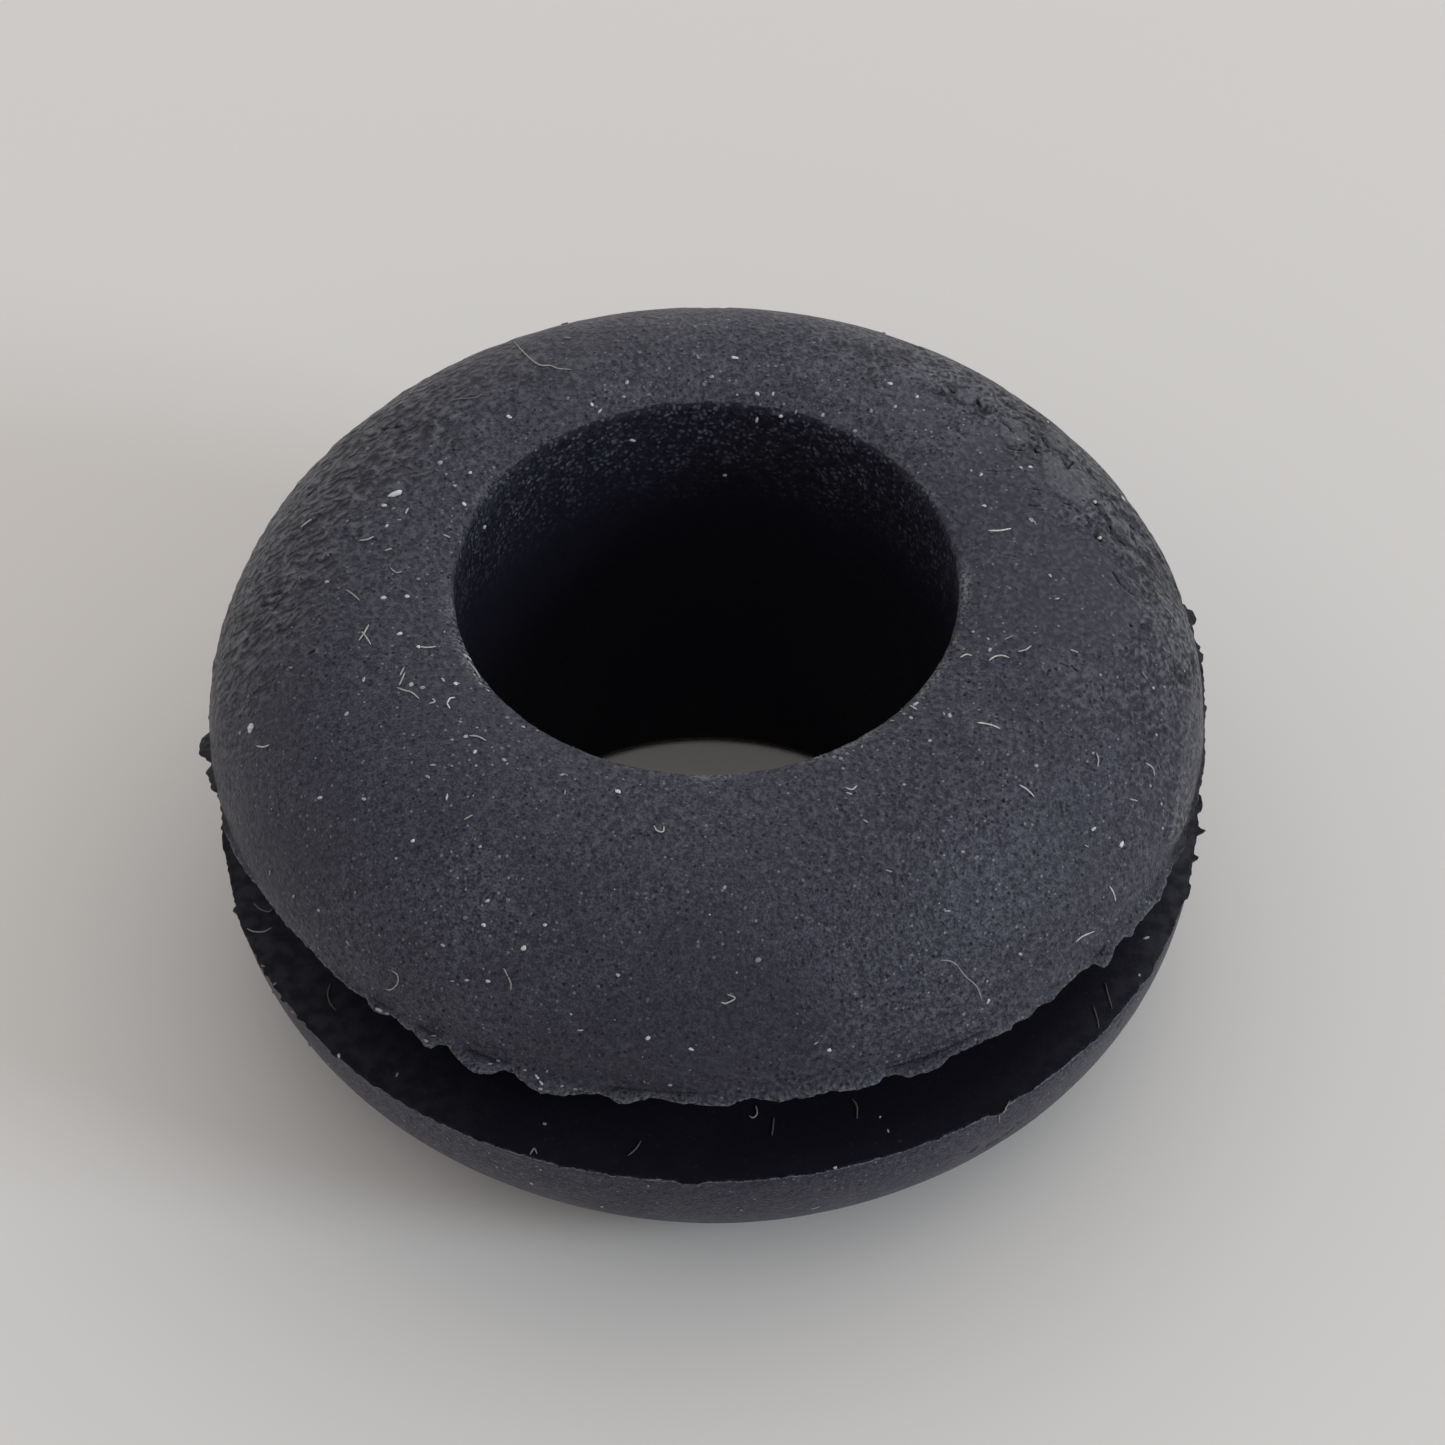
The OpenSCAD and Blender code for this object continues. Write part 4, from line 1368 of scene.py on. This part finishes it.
# ---------------------------------------------------------------- dust and lint on the rubber
# Crumbs of dust: place in the frame, length and width in mm, its turn in the frame in degrees,
# and how light it is from 0 to 1.
CRUMBS = [
    (394, 495, 0.42, 0.20, 20, 1.0), (384, 506, 0.13, 0.11, 0, 0.8), (407, 511, 0.17, 0.07, 65, 0.7),
    (387, 526, 0.12, 0.09, 40, 0.8), (399, 520, 0.13, 0.05, 0, 0.6), (509, 417, 0.17, 0.10, -20, 0.9),
    (464, 504, 0.13, 0.10, -60, 1.0), (484, 527, 0.14, 0.11, 0, 0.9), (455, 486, 0.10, 0.08, 0, 0.7),
    (470, 473, 0.11, 0.09, 20, 0.9), (384, 598, 0.16, 0.10, 10, 0.9), (407, 597, 0.12, 0.10, 0, 0.9),
    (327, 582, 0.10, 0.09, -20, 0.7), (400, 634, 0.15, 0.10, 10, 0.9), (419, 647, 0.11, 0.10, 0, 1.0),
    (411, 685, 0.13, 0.13, 0, 0.7), (422, 688, 0.14, 0.10, 20, 0.6), (443, 680, 0.13, 0.07, -45, 0.7),
    (456, 684, 0.13, 0.10, 0, 1.0), (251, 729, 0.22, 0.27, 80, 0.95), (240, 733, 0.11, 0.09, 0, 0.6),
    (364, 680, 0.14, 0.08, 80, 0.7), (347, 714, 0.13, 0.09, 50, 0.7),
    (291, 668, 0.14, 0.06, 0, 0.5), (475, 752, 0.12, 0.10, 30, 0.9), (466, 737, 0.11, 0.10, 0, 0.7),
    (433, 765, 0.15, 0.06, 0, 0.6), (428, 777, 0.13, 0.08, -20, 0.6), (320, 798, 0.17, 0.08, 10, 0.8),
    (364, 799, 0.12, 0.08, -20, 0.7), (447, 797, 0.18, 0.06, 85, 0.8), (413, 841, 0.11, 0.09, 0, 0.9),
    (480, 847, 0.10, 0.09, 0, 0.7), (270, 873, 0.16, 0.07, 80, 0.5), (294, 896, 0.15, 0.07, 60, 0.6),
    (319, 910, 0.11, 0.10, 0, 0.6), (487, 901, 0.12, 0.09, 30, 0.8), (484, 925, 0.12, 0.10, -30, 0.9),
    (348, 943, 0.15, 0.06, -55, 0.6), (443, 945, 0.12, 0.08, -30, 0.6), (545, 925, 0.11, 0.10, 0, 0.8),
    (524, 948, 0.16, 0.13, 40, 0.9), (467, 980, 0.14, 0.06, 5, 0.7), (488, 981, 0.15, 0.09, -10, 0.8),
    (452, 981, 0.13, 0.05, 5, 0.6), (648, 1038, 0.12, 0.11, 60, 0.8), (691, 1049, 0.14, 0.08, -20, 0.9),
    (580, 1030, 0.17, 0.06, 5, 0.6), (571, 1014, 0.09, 0.08, 0, 0.6), (618, 975, 0.15, 0.08, -20, 0.7),
    (829, 1050, 0.12, 0.10, -20, 0.9), (816, 1043, 0.15, 0.05, 30, 0.6), (988, 1001, 0.12, 0.09, 70, 0.8),
    (987, 981, 0.09, 0.08, 0, 0.6), (1020, 954, 0.14, 0.08, -15, 0.7), (1121, 844, 0.22, 0.14, 65, 1.0),
    (1093, 829, 0.16, 0.09, 30, 0.8), (1162, 828, 0.11, 0.08, -60, 0.7), (1161, 804, 0.10, 0.09, -40, 0.6),
    (1109, 838, 0.08, 0.07, 0, 0.5), (1036, 766, 0.10, 0.09, 0, 0.6), (1150, 786, 0.13, 0.09, -40, 0.6),
    (1100, 675, 0.11, 0.09, 0, 0.6), (990, 650, 0.14, 0.08, 60, 0.7), (930, 741, 0.10, 0.09, 0, 0.7),
    (963, 852, 0.12, 0.08, 0, 0.6), (904, 785, 0.09, 0.08, 0, 0.6), (735, 358, 0.17, 0.10, -10, 1.0),
    (698, 357, 0.17, 0.07, -60, 0.5), (712, 377, 0.11, 0.10, 0, 0.7), (669, 369, 0.10, 0.08, 80, 0.5),
    (627, 383, 0.16, 0.09, 80, 0.7), (624, 397, 0.10, 0.07, 0, 0.6), (592, 405, 0.13, 0.08, -55, 0.9),
    (600, 411, 0.14, 0.07, 50, 0.8), (648, 395, 0.09, 0.08, 0, 0.5), (757, 394, 0.13, 0.09, -20, 0.9),
    (773, 394, 0.12, 0.07, 80, 0.7), (737, 395, 0.08, 0.07, 0, 0.6), (633, 440, 0.17, 0.09, -10, 0.8),
    (757, 420, 0.20, 0.08, 80, 0.8), (781, 416, 0.10, 0.10, 0, 0.9), (725, 475, 0.10, 0.09, 0, 0.7),
    (796, 412, 0.13, 0.06, 70, 0.5), (890, 384, 0.16, 0.11, -25, 0.9), (917, 397, 0.11, 0.09, 20, 0.9),
    (895, 407, 0.12, 0.08, 50, 0.7), (871, 411, 0.14, 0.09, 80, 0.5), (823, 415, 0.12, 0.09, 60, 0.7),
    (855, 431, 0.10, 0.09, 20, 0.6), (932, 437, 0.08, 0.07, 0, 0.5), (981, 475, 0.13, 0.09, 50, 0.8),
    (971, 471, 0.09, 0.08, 0, 0.7), (1021, 468, 0.11, 0.08, -30, 0.7), (1030, 467, 0.13, 0.07, 0, 0.9),
    (984, 506, 0.12, 0.10, 0, 0.9), (1031, 520, 0.18, 0.07, -45, 0.8), (1095, 502, 0.11, 0.10, 0, 0.9),
    (1050, 576, 0.12, 0.08, -55, 0.8), (1100, 538, 0.11, 0.10, 0, 0.9), (1123, 499, 0.20, 0.08, -60, 1.0),
    (1057, 599, 0.11, 0.07, 10, 0.7), (880, 1117, 0.09, 0.07, 60, 0.8), (888, 1131, 0.10, 0.06, -60, 0.7),
    (545, 1124, 0.10, 0.09, 0, 0.6), (397, 1075, 0.13, 0.06, 70, 0.6), (263, 966, 0.11, 0.07, -20, 0.5),
    (275, 984, 0.12, 0.06, 50, 0.5), (339, 1056, 0.15, 0.08, 80, 0.9), (1139, 975, 0.10, 0.08, 0, 0.7),
    (1146, 938, 0.16, 0.08, 10, 0.7), (532, 1183, 0.10, 0.09, 0, 0.7), (602, 1206, 0.10, 0.08, 0, 0.6),
    (835, 1168, 0.10, 0.08, 0, 0.8), (497, 1167, 0.08, 0.07, 0, 0.6), (670, 1085, 0.11, 0.08, 0, 0.5),
    (465, 656, 0.15, 0.07, -50, 0.7), (469, 663, 0.12, 0.06, -50, 0.6), (474, 675, 0.12, 0.07, -50, 0.6),
    (480, 684, 0.11, 0.08, -40, 0.5), (488, 691, 0.12, 0.08, -30, 0.6), (460, 722, 0.09, 0.08, 0, 0.6),
    (477, 728, 0.09, 0.08, 0, 0.6), (452, 740, 0.11, 0.09, 0, 0.5), (504, 760, 0.12, 0.08, -30, 0.7),
    (507, 764, 0.09, 0.07, 30, 0.5), (452, 766, 0.09, 0.08, 0, 0.5), (476, 766, 0.08, 0.08, 0, 0.6),
    (492, 765, 0.08, 0.07, 0, 0.5), (507, 718, 0.11, 0.09, 0, 0.4), (523, 727, 0.11, 0.08, -20, 0.7),
    (537, 731, 0.09, 0.07, 0, 0.5), (562, 775, 0.14, 0.07, 15, 0.6), (565, 792, 0.17, 0.05, 85, 0.5),
    (618, 792, 0.16, 0.13, -10, 1.0), (468, 797, 0.09, 0.07, 0, 0.5), (973, 632, 0.09, 0.08, 60, 0.7),
    (988, 639, 0.10, 0.07, -60, 0.6), (1004, 632, 0.09, 0.09, 0, 0.4), (916, 704, 0.17, 0.10, 30, 0.8),
    (911, 718, 0.11, 0.09, -20, 0.7), (904, 714, 0.10, 0.08, 0, 0.5), (944, 714, 0.12, 0.07, -60, 0.6),
    (379, 1010, 0.20, 0.09, -20, 0.7), (387, 1013, 0.12, 0.08, 0, 0.5), (426, 1041, 0.14, 0.08, -20, 0.5),
    (434, 1036, 0.12, 0.06, 0, 0.4), (490, 1064, 0.12, 0.06, 0, 0.5), (498, 1061, 0.11, 0.06, -20, 0.4),
    (537, 1077, 0.16, 0.07, -50, 0.8), (541, 1083, 0.15, 0.06, -50, 0.8), (547, 1071, 0.10, 0.06, 60, 0.5),
    (525, 1070, 0.10, 0.06, 0, 0.5), (540, 1089, 0.14, 0.07, -10, 0.6), (562, 1086, 0.10, 0.06, 0, 0.5),
    (575, 1089, 0.11, 0.06, 0, 0.4), (567, 338, 0.22, 0.08, 5, 0.5), (979, 710, 0.08, 0.07, 0, 0.5),
    (892, 721, 0.12, 0.07, 0, 0.5), (862, 747, 0.12, 0.06, 70, 0.5),
    (1158, 620, 0.09, 0.06, 60, 0.4), (1171, 621, 0.11, 0.08, 60, 0.4), (1171, 636, 0.08, 0.07, 0, 0.5),
    (1188, 640, 0.08, 0.05, 0, 0.4), (1156, 665, 0.08, 0.06, 0, 0.4), (1168, 671, 0.08, 0.07, 0, 0.3),
    (1184, 671, 0.08, 0.07, 0, 0.7), (1153, 688, 0.09, 0.09, 0, 0.8), (1164, 687, 0.10, 0.08, 0, 0.6),
    (1144, 682, 0.07, 0.06, 0, 0.4), (1181, 692, 0.10, 0.06, 20, 0.4), (1156, 703, 0.07, 0.06, 0, 0.4),
    (1183, 704, 0.07, 0.06, 0, 0.3), (1156, 735, 0.09, 0.09, 0, 0.7), (1160, 720, 0.07, 0.06, 0, 0.3),
    (841, 759, 0.11, 0.10, 0, 0.5), (843, 769, 0.10, 0.09, 0, 0.5), (979, 750, 0.10, 0.06, 80, 0.4),
]
# Fibres of lint: places in the frame that the fibre runs through, then how light it is.
FIBRES = [
    ([(514, 342), (521, 350), (528, 357), (535, 363), (542, 366), (550, 366), (558, 369), (571, 370)], 0.45),
    ([(359, 641), (364, 634), (369, 625)], 0.6),
    ([(362, 632), (366, 637), (371, 645)], 0.6),
    ([(419, 647), (427, 648), (436, 647)], 0.6),
    ([(397, 688), (405, 691), (412, 693), (419, 699)], 0.55),
    ([(399, 686), (402, 680), (405, 673)], 0.5),
    ([(404, 668), (400, 676)], 0.5),
    ([(447, 704), (450, 699), (455, 698)], 0.9),
    ([(447, 704), (450, 709)], 0.9),
    ([(432, 699), (435, 702), (429, 704)], 0.6),
    ([(257, 746), (264, 747), (270, 745)], 0.7),
    ([(301, 528), (307, 523), (312, 520)], 0.7),
    ([(359, 541), (367, 540), (374, 537)], 0.5),
    ([(385, 551), (392, 549)], 0.5),
    ([(346, 590), (352, 594), (360, 601)], 0.4),
    ([(390, 568), (396, 573), (402, 572)], 0.4),
    ([(443, 535), (450, 538)], 0.6),
    ([(469, 736), (478, 737), (486, 741)], 0.6),
    ([(465, 655), (471, 661)], 0.7),
    ([(469, 663), (476, 672), (480, 679)], 0.5),
    ([(453, 684), (460, 684)], 0.5),
    ([(464, 820), (473, 815)], 0.4),
    ([(392, 970), (398, 975), (398, 983), (392, 989), (386, 989)], 0.4),
    ([(508, 976), (511, 983), (511, 990)], 0.3),
    ([(504, 968), (508, 976)], 0.35),
    ([(727, 994), (735, 998), (726, 1003), (721, 1002)], 0.5),
    ([(956, 964), (965, 976), (976, 986), (982, 1001)], 0.3),
    ([(447, 402), (456, 400), (466, 399), (476, 398), (482, 395)], 0.15),
    ([(940, 960), (950, 961), (958, 966)], 0.3),
    ([(654, 826), (657, 831), (663, 832), (664, 826)], 0.6),
    ([(845, 788), (852, 790), (857, 786)], 0.7),
    ([(846, 793), (852, 795)], 0.6),
    ([(910, 706), (917, 710)], 0.7),
    ([(977, 723), (985, 724), (993, 726), (1000, 729)], 0.9),
    ([(989, 661), (995, 657), (1002, 656), (1009, 658)], 0.8),
    ([(960, 658), (966, 655), (972, 656)], 0.7),
    ([(1018, 652), (1026, 650), (1031, 646)], 0.6),
    ([(1070, 650), (1078, 653)], 0.5),
    ([(988, 531), (1000, 531), (1011, 529)], 1.0),
    ([(1019, 785), (1027, 790), (1034, 797)], 0.8),
    ([(1096, 753), (1098, 760), (1097, 767)], 0.5),
    ([(1145, 763), (1152, 768), (1154, 776)], 0.5),
    ([(1129, 799), (1137, 801)], 0.5),
    ([(1109, 886), (1113, 893), (1115, 901)], 0.7),
    ([(1075, 942), (1082, 936), (1094, 931)], 0.7),
    ([(944, 911), (950, 911)], 0.5),
    ([(1084, 845), (1088, 847)], 0.4),
    ([(863, 820), (868, 823)], 0.5),
    ([(885, 870), (892, 872)], 0.4),
    ([(1031, 518), (1036, 525)], 0.4),
    ([(247, 929), (254, 932), (264, 932), (272, 928)], 0.4),
    ([(254, 904), (261, 910), (269, 912), (273, 909)], 0.15),
    ([(331, 983), (328, 993), (330, 1003), (336, 1011)], 0.07),
    ([(756, 1106), (757, 1114), (753, 1118), (749, 1116)], 0.4),
    ([(852, 1099), (857, 1107), (857, 1119)], 0.08),
    ([(774, 1118), (773, 1128), (772, 1136)], 0.08),
    ([(641, 1141), (636, 1149), (628, 1156)], 0.08),
    ([(1105, 983), (1108, 995), (1112, 1009)], 0.08),
    ([(1093, 1006), (1097, 1018), (1099, 1029)], 0.08),
    ([(999, 1122), (1003, 1112), (1010, 1101)], 0.3),
    ([(530, 1155), (534, 1149), (537, 1154)], 0.3),
    ([(1141, 672), (1147, 680)], 0.3),
    ([(1013, 636), (1004, 640)], 0.3),
]
# A crumb is smaller and darker than it is listed: its shares of that length and width, and the
# power that darkens it.
CRUMB_L_SHARE, CRUMB_W_SHARE, CRUMB_DARKER = 0.76, 0.7, 1.9
# a crumb's unevenness, how high it stands for its size, and how much of its height is over its middle
CRUMB_UNEVEN, CRUMB_H, CRUMB_RAISED = 0.45, 0.35, 0.35
# a crumb shorter than this is made of fewer faces
SMALL_CRUMB = 0.07 * MM
FIBRE_R = 0.016 * MM
FIBRE_SIDES = 5
# how high its middle line lies over the skin, in its radii
FIBRE_RAISED = 0.8
# how thick a fibre's ends are
FIBRE_END = 0.45
FIBRE_TONE = 0.85
# Finer dust all over the ring. A loose fibre goes on over the skin by steps of these lengths, and
# turns by up to this angle at each.
LOOSE_CRUMBS = 380
LOOSE_FIBRES = 60
LOOSE_STEPS = 4
LOOSE_STEP_MM = (0.03, 0.085)
LOOSE_TURN = 0.5
# the length of a loose crumb in mm and its tone: the least, how much more, and the power that makes
# most of them small and dark
LOOSE_LENGTH, LOOSE_TONE = (0.035, 0.07, 3), (0.12, 0.6, 2.5)
DUST_SEED = 5
# the share of loose crumbs left out where the listed ones lie
LEFT_OUT = 0.7
# They lie between these angles up the flanges' rounds. Of those on the sides and underneath this
# share stays.
LOOSE_ANGLES = (-0.9, 1.9)
LOOSE_BELOW = 0.35
DUST_BUMP = 0.01 * MM
DARK_DUST, PALE_DUST = (0.06, 0.06, 0.065, 1), (0.57, 0.56, 0.55, 1)
DARK_LINT, PALE_LINT = (0.03, 0.028, 0.026, 1), (0.68, 0.66, 0.62, 1)

skin_tree = BVHTree.FromPolygons(
    [vertex.co for vertex in ring.data.vertices],
    [tuple(polygon.vertices) for polygon in ring.data.polygons],
)


def tangents(normal, turn):
    """Two directions along the skin at right angles, the first turned from level by turn."""
    level = Vector((0, 0, 1)).cross(normal)
    level = level.normalized() if level.length > 1e-3 else Vector((1, 0, 0))
    rising = normal.cross(level)
    first = level * math.cos(turn) + rising * math.sin(turn)
    return first, normal.cross(first)


def toward_in_frame(normal, degrees):
    """The direction along the skin that runs at that angle across the frame, from its right."""
    turn = camera.matrix_world.to_3x3()
    wanted = turn @ Vector((math.cos(math.radians(degrees)), math.sin(math.radians(degrees)), 0))
    sight = turn @ Vector((0, 0, 1))
    on_skin = wanted - sight * (wanted.dot(normal) / sight.dot(normal))
    return on_skin.normalized()


def add_crumb(bm, place, normal, along, length, width, tone, luck):
    """One irregular crumb of dust that sits on the skin."""
    aside = normal.cross(along).normalized()
    made = bmesh.ops.create_icosphere(bm, subdivisions=1 if length < SMALL_CRUMB else 2, radius=1)["verts"]
    shift = Vector((luck.uniform(0, 9), luck.uniform(0, 9), luck.uniform(0, 9)))
    tones = bm.verts.layers.float["tone"]
    rough = soft_noise(np.array([vert.co + shift for vert in made]), 0.8, seed=11)
    for vert, change in zip(made, rough):
        grown = vert.co * (1 + CRUMB_UNEVEN * change)
        vert.co = place + along * grown.x * length / 2 + aside * grown.y * width / 2
        vert.co += normal * (grown.z + CRUMB_RAISED) * min(length, width) * CRUMB_H
        vert[tones] = tone


def add_fibre(bm, route, normals, radius, tone):
    """One fibre of lint along a route on the skin, with fine ends."""
    tones = bm.verts.layers.float["tone"]
    rings = []
    for i, (place, normal) in enumerate(zip(route, normals)):
        ahead = (route[min(i + 1, len(route) - 1)] - route[max(i - 1, 0)]).normalized()
        aside = ahead.cross(normal).normalized()
        above = aside.cross(ahead)
        share = i / (len(route) - 1)
        here = radius * (FIBRE_END + (1 - FIBRE_END) * min(1.0, 6 * share, 6 * (1 - share)))
        ring = []
        for side in range(FIBRE_SIDES):
            angle = FULL_TURN * side / FIBRE_SIDES
            vert = bm.verts.new(place + aside * math.cos(angle) * here + above * math.sin(angle) * here)
            vert[tones] = tone
            ring.append(vert)
        rings.append(ring)
    for first, second in zip(rings[:-1], rings[1:]):
        for side in range(FIBRE_SIDES):
            bm.faces.new((first[side - 1], first[side], second[side], second[side - 1]))
    bm.faces.new(rings[0])
    bm.faces.new(rings[-1][::-1])


def smooth_route(places, steps=5):
    """Points of a smooth curve through the places."""
    padded = [places[0] * 2 - places[1]] + places + [places[-1] * 2 - places[-2]]
    route = []
    for a, b, c, d in zip(padded, padded[1:], padded[2:], padded[3:]):
        for step in range(steps):
            t = step / steps
            route.append((
                2 * b + (c - a) * t + (2 * a - 5 * b + 4 * c - d) * t ** 2 + (3 * b - a - 3 * c + d) * t ** 3
            ) * 0.5)
    return route + [places[-1]]


def lay_fibre(bm, places, radius, tone):
    """A fibre whose route through the places is laid on the skin."""
    route, normals = [], []
    for place in smooth_route(places):
        nearest, normal, _, _ = skin_tree.find_nearest(place)
        route.append(nearest + normal * radius * FIBRE_RAISED)
        normals.append(normal)
    add_fibre(bm, route, normals, radius, tone)


def dust_piece(name, bm, material):
    """The object made of those crumbs or fibres."""
    bmesh.ops.recalc_face_normals(bm, faces=bm.faces)
    mesh = bpy.data.meshes.new(name)
    bm.to_mesh(mesh)
    bm.free()
    mesh.polygons.foreach_set("use_smooth", [True] * len(mesh.polygons))
    mesh.materials.append(material)
    piece = bpy.data.objects.new(name, mesh)
    bpy.context.scene.collection.objects.link(piece)
    return piece


def loose_place(luck):
    """A random place on the skin, more often on top than on the sides or below."""
    while True:
        turn, rise = luck.uniform(0, FULL_TURN), luck.uniform(*LOOSE_ANGLES)
        away = Vector((math.cos(turn), math.sin(turn), 0))
        centre = away * CROWN_OUTER_R + Vector((0, 0, UPPER_FACE_Z if rise > 0 else LOWER_FACE_Z))
        ray = away * math.cos(rise) + Vector((0, 0, 1)) * math.sin(rise)
        hit, normal, _, _ = skin_tree.find_nearest(centre + ray * FLANGE_H)
        if luck.random() < LOOSE_BELOW + (1 - LOOSE_BELOW) * max(0.0, normal.z):
            return hit, normal


def mostly_least(luck, least, more, power):
    """A random size from least to least + more, near the least for the most part."""
    return least + more * luck.random() ** power


def in_view(place, normal):
    """Whether the camera sees that place on the upper flange, where the dust is placed one by one."""
    return place.z > UPPER_FACE_Z and normal.dot(camera.matrix_world.translation - place) > 0


def dust_material(name, dark, pale):
    """Pale matter on the rubber, from dark to pale by each crumb's or fibre's own tone."""
    material, nodes, shader, place = new_material(name)
    surface = nodes.group(GRAIN, {"Place": place, "Size": 0.03})
    uneven = nodes.between(surface.outputs["Height"], 0.35, 0.65, 0.75, 1.15)
    tone = nodes.math("MULTIPLY", nodes.mask("tone"), uneven, clamp=True)
    roughness = nodes.between(surface.outputs["Height"], 0.3, 0.7, 0.75, 0.9)
    nodes.feed_shader(shader, nodes.blend(tone, dark, pale), roughness, surface.outputs["Height"], DUST_BUMP)
    return material


def make_dust():
    """The crumbs of dust, as one piece."""
    luck = random.Random(DUST_SEED)
    bm = bmesh.new()
    bm.verts.layers.float.new("tone")
    for across, down, length, width, turn, tone in CRUMBS:
        hit, normal, _, _ = skin_tree.ray_cast(*sight_line(across, down))
        along = toward_in_frame(normal, turn)
        size = (CRUMB_L_SHARE * length * MM, CRUMB_W_SHARE * width * MM)
        add_crumb(bm, hit, normal, along, *size, tone ** CRUMB_DARKER, luck)
    for _ in range(LOOSE_CRUMBS):
        hit, normal = loose_place(luck)
        if in_view(hit, normal) and luck.random() < LEFT_OUT:
            continue
        along, _ = tangents(normal, luck.uniform(0, math.pi))
        length = mostly_least(luck, *LOOSE_LENGTH) * MM
        tone = mostly_least(luck, *LOOSE_TONE)
        add_crumb(bm, hit, normal, along, length, length * luck.uniform(0.5, 1), tone, luck)
    return dust_piece("dust_crumbs", bm, dust_material("dust", DARK_DUST, PALE_DUST))


def make_lint():
    """The fibres of lint, as one piece."""
    luck = random.Random(DUST_SEED + 1)
    bm = bmesh.new()
    bm.verts.layers.float.new("tone")
    for places, tone in FIBRES:
        hits = [skin_tree.ray_cast(*sight_line(*place))[0] for place in places]
        lay_fibre(bm, hits, FIBRE_R, FIBRE_TONE * tone)
    for _ in range(LOOSE_FIBRES):
        hit, normal = loose_place(luck)
        if in_view(hit, normal):
            continue
        heading, bend = luck.uniform(0, math.pi), luck.uniform(-LOOSE_TURN, LOOSE_TURN)
        step = luck.uniform(*LOOSE_STEP_MM) * MM
        places = [hit]
        for _ in range(LOOSE_STEPS):
            nearest, normal, _, _ = skin_tree.find_nearest(places[-1])
            along, _ = tangents(normal, heading)
            places.append(nearest + along * step)
            heading += bend
        lay_fibre(bm, places, FIBRE_R * luck.uniform(0.7, 1.0), luck.uniform(0.15, 0.6))
    return dust_piece("lint_fibres", bm, dust_material("lint", DARK_LINT, PALE_LINT))


dust = make_dust()
lint = make_lint()


# ---------------------------------------------------------------- floor and lights
FLOOR_HALF = 1.5
FLOOR_COLOUR = (0.64, 0.602, 0.558, 1)
KEY_COLOUR = (1.0, 0.98, 0.95)
WINDOW_COLOUR = (0.72, 0.86, 1.0)
ROOM_COLOUR = (0.95, 0.96, 1.0, 1)
ROOM_STRENGTH = 0.75


def make_floor():
    """A plain pale floor."""
    floor = bpy.data.objects.new("floor", bpy.data.meshes.new("floor"))
    bpy.context.scene.collection.objects.link(floor)
    corners = [(-1, -1), (1, -1), (1, 1), (-1, 1)]
    floor.data.from_pydata([(FLOOR_HALF * x, FLOOR_HALF * y, 0) for x, y in corners], [], [(0, 1, 2, 3)])
    material = bpy.data.materials.new("pale floor")
    material.use_nodes = True
    shader = material.node_tree.nodes["Principled BSDF"]
    shader.inputs["Base Color"].default_value = FLOOR_COLOUR
    shader.inputs["Roughness"].default_value = 0.9
    floor.data.materials.append(material)


def area_light(name, azimuth, elevation, distance, side, watts, colour):
    """A square soft light aimed at the ring's middle. Azimuth is anticlockwise from +X, in degrees."""
    light = bpy.data.objects.new(name, bpy.data.lights.new(name, "AREA"))
    bpy.context.scene.collection.objects.link(light)
    light.data.size = side
    light.data.energy = watts
    light.data.color = colour
    turn, rise = math.radians(azimuth), math.radians(elevation)
    away = Vector((math.cos(turn) * math.cos(rise), math.sin(turn) * math.cos(rise), math.sin(rise)))
    light.location = Vector((0, 0, MIDDLE_Z)) + away * distance
    light.rotation_mode = "QUATERNION"
    light.rotation_quaternion = (-away).to_track_quat("-Z", "Y")


make_floor()
area_light("key", azimuth=60, elevation=55, distance=0.5, side=0.6, watts=0.55, colour=KEY_COLOUR)
area_light("window", azimuth=-22, elevation=24, distance=0.5, side=0.15, watts=1.1, colour=WINDOW_COLOUR)
world = bpy.data.worlds.new("soft room")
bpy.context.scene.world = world
world.use_nodes = True
room = world.node_tree.nodes["Background"]
room.inputs["Color"].default_value = ROOM_COLOUR
room.inputs["Strength"].default_value = ROOM_STRENGTH

bpy.context.scene.view_settings.view_transform = "Standard"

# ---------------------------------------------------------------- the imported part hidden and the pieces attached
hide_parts("grommet")
for piece in (ring, dust, lint):
    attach(piece, "root")
